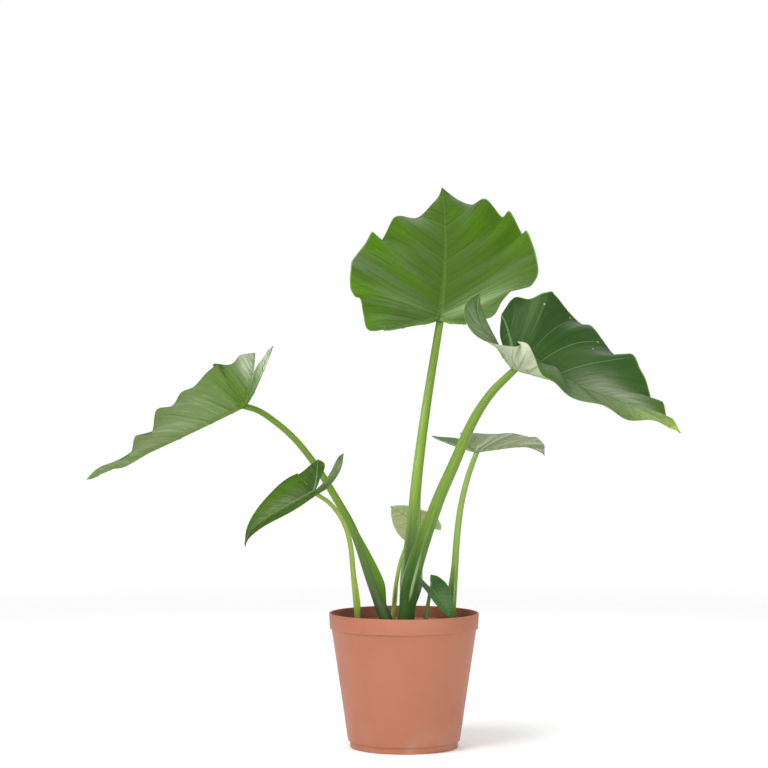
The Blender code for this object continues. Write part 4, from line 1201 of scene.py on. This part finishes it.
def pot_look():
    """Matt moulded plastic, a little scuffed, with dust near its foot."""
    settings = bpy.context.scene.alocasia_pot
    material, tree, shader = new_material("pot_plastic")
    wear = use_group(tree, "pot wear", scuff_masks, **{"stain scale": STAIN_SCALE})
    body = tuple(settings.colour)
    colour = paint(
        tree, body,
        (wear["stain"], STAIN_TONE, shade(body, STAIN_DARK)),
        (ramp(tree, wear["speckle"], *SPECKLE_EDGE), SPECKLE_TONE, shade(body, SPECKLE_LIGHT)),
        (wear["dust"], DUST_TONE, DUST_COLOUR),
    )
    join(tree, colour, shader.inputs["Base Color"])
    clean = settings.roughness
    rough = ramp(tree, wear["stain"], 0.0, 1.0, clean, clean + STAIN_ROUGHNESS)
    join(tree, rough, shader.inputs["Roughness"])
    bump(tree, shader, wear["speckle"], *POT_RELIEF)
    return material


def soil_look():
    """Damp potting soil with brown fibres."""
    material, tree, shader = new_material("soil_peat")
    clump = noise(tree, *CLUMP_NOISE)
    fibre = noise(tree, *FIBRE_NOISE)
    damp = tuple(bpy.context.scene.alocasia_soil.colour)
    colour = paint(
        tree, damp,
        (ramp(tree, clump, *CLUMP_EDGE), 1.0, shade(damp, CLUMP_LIGHT)),
        (ramp(tree, fibre, *FIBRE_EDGE), FIBRE_TONE, FIBRE_COLOUR),
    )
    join(tree, colour, shader.inputs["Base Color"])
    shader.inputs["Roughness"].default_value = DAMP_ROUGHNESS
    bump(tree, shader, sums(tree, "MULTIPLY_ADD", fibre, FIBRE_HEIGHT, clump), *DAMP_RELIEF)
    return material


def crumb_look(name, colour, roughness):
    """A crumb's own colour, darker in places."""
    material, tree, shader = new_material(name)
    tone = noise(tree, *CRUMB_NOISE)
    colour = paint(tree, colour, (ramp(tree, tone, *CRUMB_EDGE), 1.0, shade(colour, CRUMB_DARK)))
    join(tree, colour, shader.inputs["Base Color"])
    shader.inputs["Roughness"].default_value = roughness
    bump(tree, shader, tone, *CRUMB_RELIEF)
    return material


def pot_outer_radius(height):
    """The wall's outside radius below the collar."""
    under_collar = POT_HEIGHT - COLLAR_HEIGHT
    return POT_FOOT_RADIUS + (POT_TOP_RADIUS - COLLAR_STEP - POT_FOOT_RADIUS) * height / under_collar


def pot_inner_radius(height):
    """The wall's inside radius below the collar."""
    return pot_outer_radius(height) - POT_WALL


def pot_profile(rounding):
    """The pot's section, from the middle of its floor over the rim to the middle of its underside."""
    under = POT_HEIGHT - COLLAR_HEIGHT
    inside = POT_TOP_RADIUS - POT_WALL
    foot = POT_FOOT_RADIUS - FOOT_STEP
    corners = [
        (0.0, POT_FLOOR),
        (pot_inner_radius(POT_FLOOR) - POT_COVE, POT_FLOOR),
        (pot_inner_radius(POT_FLOOR + POT_COVE), POT_FLOOR + POT_COVE),
        (pot_inner_radius(under), under),
        (inside, under + COLLAR_SHOULDER),
        (inside, POT_HEIGHT),
        (POT_TOP_RADIUS, POT_HEIGHT),
        (POT_TOP_RADIUS - COLLAR_DRAFT, under),
        (pot_outer_radius(under), under),
        (pot_outer_radius(FOOT_STEP_HEIGHT), FOOT_STEP_HEIGHT + FOOT_STEP),
        (foot, FOOT_STEP_HEIGHT),
        (foot, 0.0),
        (0.0, 0.0),
    ]
    return rounded(corners, rounding)


def rounded(points, radius):
    """The profile with each inner corner rounded by a short curve."""
    out = [points[0]]
    for before, corner, after in zip(points[:-2], points[1:-1], points[2:]):
        before, corner, after = (np.array(point) for point in (before, corner, after))
        back, ahead = before - corner, after - corner
        reach_back, reach_ahead = np.linalg.norm(back), np.linalg.norm(ahead)
        cut = min(radius, ROUNDING_LIMIT * reach_back, ROUNDING_LIMIT * reach_ahead)
        start = corner + back / reach_back * cut
        stop = corner + ahead / reach_ahead * cut
        for u in np.linspace(0, 1, ROUNDING_STEPS + 1):
            out.append(tuple((1 - u) ** 2 * start + 2 * u * (1 - u) * corner + u ** 2 * stop))
    out.append(points[-1])
    return out


def make_pot(settings):
    """The turned pot, with its drain holes drilled."""
    profile = pot_profile(settings.rounding)
    points = [(radius, 0.0, height) for radius, height in profile]
    edges = [(i, i + 1) for i in range(len(profile) - 1)]
    pot = mesh_object("growing_pot", points, [], [pot_look()], edges)
    turn = pot.modifiers.new("turn", "SCREW")
    turn.angle = 2 * math.pi
    turn.steps = POT_TURN_STEPS
    turn.render_steps = POT_TURN_STEPS
    turn.use_merge_vertices = True
    turn.merge_threshold = POT_MERGE
    drills = [make_drill(i, pot) for i in range(DRAIN_COUNT)]
    bpy.context.view_layer.update()
    pot.data = bpy.data.meshes.new_from_object(pot.evaluated_get(bpy.context.evaluated_depsgraph_get()))
    pot.modifiers.clear()
    for drill in drills:
        bpy.data.objects.remove(drill, do_unlink=True)
    pot.data.set_sharp_from_angle(angle=SHARP_EDGE)
    return pot


def make_drill(number, pot):
    """A drill for one drain hole, and its cut in the pot."""
    body = bmesh.new()
    bmesh.ops.create_cone(body, cap_ends=True, segments=DRAIN_SIDES, radius1=DRAIN_RADIUS,
                          radius2=DRAIN_RADIUS, depth=DRILL_LENGTH)
    mesh = bpy.data.meshes.new("drill")
    body.to_mesh(mesh)
    body.free()
    drill = place_object("drill", mesh)
    turn = 2 * math.pi * (number + 0.5) / DRAIN_COUNT
    drill.location = (DRAIN_RING_RADIUS * math.cos(turn), DRAIN_RING_RADIUS * math.sin(turn), 0.0)
    hole = pot.modifiers.new("drain", "BOOLEAN")
    hole.operation = "DIFFERENCE"
    hole.object = drill
    return drill


def soil_height(x, y):
    """The soil's top: a low dome, a little lumpy, level where it meets the pot."""
    share = np.minimum(np.hypot(x, y) / pot_inner_radius(SOIL_LEVEL), 1.0)
    waves = np.sin(SOIL_WAVES[0] * x + SOIL_WAVE_STARTS[0]) * np.cos(SOIL_WAVES[1] * y + SOIL_WAVE_STARTS[1])
    lumps = waves + SOIL_RIPPLE_SHARE * np.sin(SOIL_RIPPLES[1] * y + SOIL_RIPPLES[0] * x)
    return SOIL_LEVEL + (SOIL_DOME + SOIL_ROUGHNESS * lumps) * (1 - share ** 2)


def make_soil(settings):
    """The soil's rough top and its sides against the pot."""
    edge = pot_inner_radius(SOIL_LEVEL)
    radius = np.linspace(edge - SOIL_GAP, 0.0, SOIL_RINGS + 1)[:-1]
    turn = 2 * np.pi * np.arange(SOIL_SPOKES) / SOIL_SPOKES
    x = radius[:, None] * np.cos(turn)[None, :]
    y = radius[:, None] * np.sin(turn)[None, :]
    rough = np.random.default_rng(SOIL_SEED).normal(0, 1, x.shape)
    rough = (rough + np.roll(rough, 1, 1) + np.roll(rough, -1, 1)) / 3
    fade = np.minimum((edge - radius) / SOIL_LEVEL_EDGE, 1.0)[:, None]
    z = soil_height(x, y) - SOIL_SINK + settings.grain * rough * fade
    points = [tuple(point) for point in np.stack([x, y, z], -1).reshape(-1, 3)]
    foot = pot_inner_radius(POT_FLOOR) - POT_COVE - SOIL_GAP
    points += [(foot * math.cos(a), foot * math.sin(a), POT_FLOOR + 2 * SOIL_GAP) for a in turn]
    points += [(0.0, 0.0, float(soil_height(0.0, 0.0)))]
    top = np.arange(SOIL_RINGS * SOIL_SPOKES).reshape(SOIL_RINGS, SOIL_SPOKES)
    low = top.size + np.arange(SOIL_SPOKES)
    faces = ring_faces(np.vstack([low, top]))
    faces += [[int(a), int(b), len(points) - 1] for a, b in zip(top[-1], np.roll(top[-1], -1))]
    faces.append(low[::-1].tolist())
    soil = mesh_object("soil_bed", points, faces, [soil_look()])
    soil.data.shade_smooth()
    return soil


def turned(axis, angle):
    """The matrix of a turn about the x, y or z axis, numbered from 0."""
    one, two = (axis + 1) % 3, (axis + 2) % 3
    matrix = np.eye(3)
    matrix[one, one] = matrix[two, two] = math.cos(angle)
    matrix[two, one] = math.sin(angle)
    matrix[one, two] = -math.sin(angle)
    return matrix


def chunk(size, random):
    """One crumb's corners: a rough block with eight pulled corners, lying flat or rolled over."""
    corners = np.array([(i, j, k) for i in (-1, 1) for j in (-1, 1) for k in (-1, 1)], float)
    corners = corners * size / 2 * random.uniform(*CRUMB_PULL, corners.shape)
    turn, roll, lean = random.uniform(0, 2 * np.pi, 3)
    roll = roll if roll >= CRUMB_ROLLS_FROM else 0.0
    return corners @ (turned(2, turn) @ turned(1, CRUMB_TILT * math.sin(lean)) @ turned(0, roll)).T


def make_crumbs(name, count):
    """Many crumbs lying on the soil, clear of the stalks and the pot's wall."""
    crumb = CRUMBS[name]
    random = np.random.default_rng(crumb["seed"])
    stalks = [np.array([*leaf["route"][0][:2], leaf["radii"][0]]) * MM for leaf in LEAVES.values()]
    points, faces = [], []
    while count > 0:
        radius = (pot_inner_radius(SOIL_LEVEL) - CRUMB_WALL_GAP) * math.sqrt(random.uniform())
        turn = random.uniform(0, 2 * math.pi)
        x, y = radius * math.cos(turn), radius * math.sin(turn)
        if any(math.hypot(x - sx, y - sy) < r + CRUMB_STALK_GAP for sx, sy, r in stalks):
            continue
        size = np.array(crumb["size"]) * random.uniform(*CRUMB_SIZES)
        place = (x, y, float(soil_height(x, y)) + CRUMB_LIFT * size[2])
        start = len(points)
        points += [tuple(corner + place) for corner in chunk(size, random)]
        faces += [tuple(start + i for i in face) for face in CRUMB_FACES]
        count -= 1
    return mesh_object(name, points, faces, [crumb_look(crumb["look"], crumb["colour"], crumb["roughness"])])


class AlocasiaLeafSettings(bpy.types.PropertyGroup):
    """Relief and tones of the leaf blades."""
    lamina: bpy.props.FloatProperty(
        name="Blade thickness", description="Thickness of the blade between its veins",
        default=0.0008, min=0.0003, unit="LENGTH")
    ridge: bpy.props.FloatProperty(
        name="Vein ridge", description="How far a side vein stands out below a grown blade",
        default=0.0011, min=0.0, unit="LENGTH")
    groove: bpy.props.FloatProperty(
        name="Vein groove", description="How deep a side vein lies in the upper face",
        default=0.0007, min=0.0, unit="LENGTH")
    pillow: bpy.props.FloatProperty(
        name="Pillowing", description="How far the blade rises between two side veins",
        default=0.0024, min=0.0, unit="LENGTH")
    vein_share: bpy.props.FloatProperty(
        name="Vein width",
        description="Half the width of a side vein's relief, as a share of the vein spacing",
        default=0.032, min=0.005, max=0.2)
    vein_tone: bpy.props.FloatProperty(
        name="Vein tone", description="How pale the veins are on the upper face",
        default=0.62, min=0.0, max=1.0, subtype="FACTOR")


class AlocasiaPotSettings(bpy.types.PropertyGroup):
    """Colour and finish of the growing pot."""
    colour: bpy.props.FloatVectorProperty(
        name="Pot colour", description="Colour of the moulded plastic",
        default=(0.34, 0.115, 0.058), min=0.0, max=1.0, subtype="COLOR")
    roughness: bpy.props.FloatProperty(
        name="Pot roughness", description="Roughness of the moulded plastic",
        default=0.48, min=0.0, max=1.0, subtype="FACTOR")
    rounding: bpy.props.FloatProperty(
        name="Edge rounding", description="Radius of the pot's moulded edges",
        default=0.0012, min=0.0, unit="LENGTH")


class AlocasiaSoilSettings(bpy.types.PropertyGroup):
    """Colour and texture of the potting soil."""
    colour: bpy.props.FloatVectorProperty(
        name="Soil colour", description="Colour of the damp soil",
        default=(0.022, 0.013, 0.008), min=0.0, max=1.0, subtype="COLOR")
    grain: bpy.props.FloatProperty(
        name="Grain", description="Height of the soil's small lumps",
        default=0.0007, min=0.0, unit="LENGTH")
    bark_count: bpy.props.IntProperty(
        name="Bark crumbs", description="How many crumbs of bark lie on the soil", default=420, min=0)
    grit_count: bpy.props.IntProperty(
        name="Grit", description="How many white grains lie on the soil", default=90, min=0)


class AlocasiaStageSettings(bpy.types.PropertyGroup):
    """Light and floor of the studio."""
    floor_colour: bpy.props.FloatVectorProperty(
        name="Floor colour", description="Colour of the plain floor",
        default=(0.93, 0.93, 0.93), min=0.0, max=1.0, subtype="COLOR")
    floor_plain: bpy.props.FloatProperty(
        name="Plain floor", description="Radius within which the floor is solid",
        default=0.8, min=0.5, unit="LENGTH")
    floor_radius: bpy.props.FloatProperty(
        name="Floor radius", description="Radius at which the floor has faded away",
        default=2.6, min=0.6, unit="LENGTH")
    key_power: bpy.props.FloatProperty(
        name="Key light", description="Power of the large soft light above and to the left",
        default=62.0, min=0.0)
    fill_power: bpy.props.FloatProperty(
        name="Fill light", description="Power of the soft light from the right",
        default=16.0, min=0.0)
    back_power: bpy.props.FloatProperty(
        name="Back light", description="Power of the soft light from behind",
        default=20.0, min=0.0)
    low_power: bpy.props.FloatProperty(
        name="Low light", description="Power of the low light that reaches the undersides",
        default=12.0, min=0.0)
    surround: bpy.props.FloatProperty(
        name="Surround", description="Strength of the white surround",
        default=0.55, min=0.0)
    camera_distance: bpy.props.FloatProperty(
        name="Camera distance", description="Distance from the camera to the middle of the plant",
        default=3.0, min=0.5, unit="LENGTH")


def add_floor(settings):
    """A plain pale floor that fades into the white surround, so that the plant is seen from every side."""
    material, tree, shader = new_material("studio_paper")
    pale = tuple(settings.floor_colour)
    tone = ramp(tree, noise(tree, *PAPER_NOISE), *PAPER_EDGE)
    join(tree, paint(tree, pale, (tone, 1.0, shade(pale, PAPER_DARK))), shader.inputs["Base Color"])
    shader.inputs["Roughness"].default_value = PAPER_ROUGHNESS
    reach = tree.nodes.new("ShaderNodeVectorMath")
    reach.operation = "LENGTH"
    join(tree, object_place(tree), reach.inputs[0])
    fade = ramp(tree, reach.outputs["Value"], settings.floor_plain, settings.floor_radius, 1.0, 0.0)
    join(tree, fade, shader.inputs["Alpha"])
    turns = np.linspace(0, 2 * math.pi, FLOOR_SIDES, endpoint=False)
    radius = settings.floor_radius
    edge = [(radius * math.cos(turn), radius * math.sin(turn), -FLOOR_GAP) for turn in turns]
    floor = mesh_object("studio_floor", edge, [tuple(range(FLOOR_SIDES))], [material])


def add_light(name, power, size, place):
    """A soft light at its place, turned towards the plant."""
    light = bpy.data.lights.new(name, "AREA")
    light.energy = power
    light.shape = "RECTANGLE"
    light.size, light.size_y = size
    lamp = place_object(name, light)
    x, y, z = np.array(place) - np.array(LIGHT_TARGET)
    lamp.location = place
    lamp.rotation_euler = (math.atan2(math.hypot(x, y), z), 0.0, math.atan2(x, -y))


def add_world(settings):
    """A white surround that lights the plant softly and is seen as plain white."""
    world = bpy.data.worlds.new("studio")
    world.use_nodes = True
    tree = world.node_tree
    light = tree.nodes["Background"]
    seen = tree.nodes.new("ShaderNodeBackground")
    for background, strength in ((light, settings.surround), (seen, 1.0)):
        background.inputs["Color"].default_value = (*WHITE, 1.0)
        background.inputs["Strength"].default_value = strength
    mix = tree.nodes.new("ShaderNodeMixShader")
    join(tree, tree.nodes.new("ShaderNodeLightPath").outputs["Is Camera Ray"], mix.inputs["Fac"])
    join(tree, light.outputs[0], mix.inputs[1])
    join(tree, seen.outputs[0], mix.inputs[2])
    join(tree, mix.outputs[0], tree.nodes["World Output"].inputs["Surface"])
    bpy.context.scene.world = world


def add_camera(settings):
    """A level camera in front of the plant, as far as the photograph's view."""
    data = bpy.data.cameras.new("camera")
    data.sensor_width = SENSOR_MM
    data.lens = SENSOR_MM * settings.camera_distance / (METRES_PER_PIXEL * PHOTO_PIXELS)
    camera = place_object("camera", data)
    camera.location = (CAMERA_X, -settings.camera_distance, CAMERA_HEIGHT)
    camera.rotation_euler = (math.pi / 2, 0.0, 0.0)
    bpy.context.scene.camera = camera


class ALOCASIA_OT_blades(bpy.types.Operator):
    """Build every leaf blade in place of its plain solid"""
    bl_idname = "alocasia.blades"
    bl_label = "Leaf blades"

    def execute(self, context):
        relief = context.scene.alocasia_leaves
        for key in LEAVES:
            blade = make_blade(key, relief)
            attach(blade, "root")
            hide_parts(f"blade_{key}")
        return {"FINISHED"}


class ALOCASIA_OT_stalks(bpy.types.Operator):
    """Build every stalk with its sheath in place of its plain solid"""
    bl_idname = "alocasia.stalks"
    bl_label = "Leaf stalks"

    def execute(self, context):
        relief = context.scene.alocasia_leaves
        for key in LEAVES:
            stalk = make_stalk(key, relief)
            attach(stalk, "root")
            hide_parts(f"stalk_{key}")
        return {"FINISHED"}


class ALOCASIA_OT_pot(bpy.types.Operator):
    """Build the growing pot with rounded moulded edges"""
    bl_idname = "alocasia.pot"
    bl_label = "Growing pot"

    def execute(self, context):
        pot = make_pot(context.scene.alocasia_pot)
        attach(pot, "root")
        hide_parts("pot")
        return {"FINISHED"}


class ALOCASIA_OT_soil(bpy.types.Operator):
    """Fill the pot with soil, and scatter bark crumbs and white grit over it"""
    bl_idname = "alocasia.soil"
    bl_label = "Potting soil"

    def execute(self, context):
        settings = context.scene.alocasia_soil
        soil = make_soil(settings)
        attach(soil, "root")
        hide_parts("soil")
        for name, count in (("bark_crumbs", settings.bark_count), ("white_grit", settings.grit_count)):
            crumbs = make_crumbs(name, count)
            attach(crumbs, "root")
        return {"FINISHED"}


class ALOCASIA_OT_stage(bpy.types.Operator):
    """Lay the floor, hang the soft lights and place the camera"""
    bl_idname = "alocasia.stage"
    bl_label = "Studio"

    def execute(self, context):
        settings = context.scene.alocasia_stage
        context.scene.view_settings.view_transform = "Standard"
        add_floor(settings)
        for name, (size, place) in LIGHTS.items():
            add_light(name, getattr(settings, f"{name}_power"), size, place)
        add_world(settings)
        add_camera(settings)
        return {"FINISHED"}


class ALOCASIA_PT_panel(bpy.types.Panel):
    """Lists the plant's settings and the steps that build it"""
    bl_label = "Potted Alocasia"
    bl_idname = "ALOCASIA_PT_panel"
    bl_space_type = "VIEW_3D"
    bl_region_type = "UI"
    bl_category = "Alocasia"

    def draw(self, context):
        layout = self.layout
        for name, operators in STEPS:
            box = layout.box()
            settings = getattr(context.scene, name)
            for label in settings.__annotations__:
                box.prop(settings, label)
            for operator in operators:
                box.operator(operator.bl_idname)


# The settings, by their names in the scene, and the operators that go by each.
SETTINGS = (
    ("alocasia_leaves", AlocasiaLeafSettings),
    ("alocasia_pot", AlocasiaPotSettings),
    ("alocasia_soil", AlocasiaSoilSettings),
    ("alocasia_stage", AlocasiaStageSettings),
)
STEPS = (
    ("alocasia_leaves", (ALOCASIA_OT_blades, ALOCASIA_OT_stalks)),
    ("alocasia_pot", (ALOCASIA_OT_pot,)),
    ("alocasia_soil", (ALOCASIA_OT_soil,)),
    ("alocasia_stage", (ALOCASIA_OT_stage,)),
)


def register():
    """Add the settings, the operators and the panel."""
    for name, group in SETTINGS:
        bpy.utils.register_class(group)
        setattr(bpy.types.Scene, name, bpy.props.PointerProperty(type=group))
    for _, operators in STEPS:
        for operator in operators:
            bpy.utils.register_class(operator)
    bpy.utils.register_class(ALOCASIA_PT_panel)


def unregister():
    """Take away what register adds."""
    bpy.utils.unregister_class(ALOCASIA_PT_panel)
    for _, operators in reversed(STEPS):
        for operator in reversed(operators):
            bpy.utils.unregister_class(operator)
    for name, group in reversed(SETTINGS):
        delattr(bpy.types.Scene, name)
        bpy.utils.unregister_class(group)


def main():
    """Build the plant, step by step."""
    register()
    bpy.ops.alocasia.blades()
    bpy.ops.alocasia.stalks()
    bpy.ops.alocasia.pot()
    bpy.ops.alocasia.soil()
    bpy.ops.alocasia.stage()


if __name__ == "__main__":
    main()
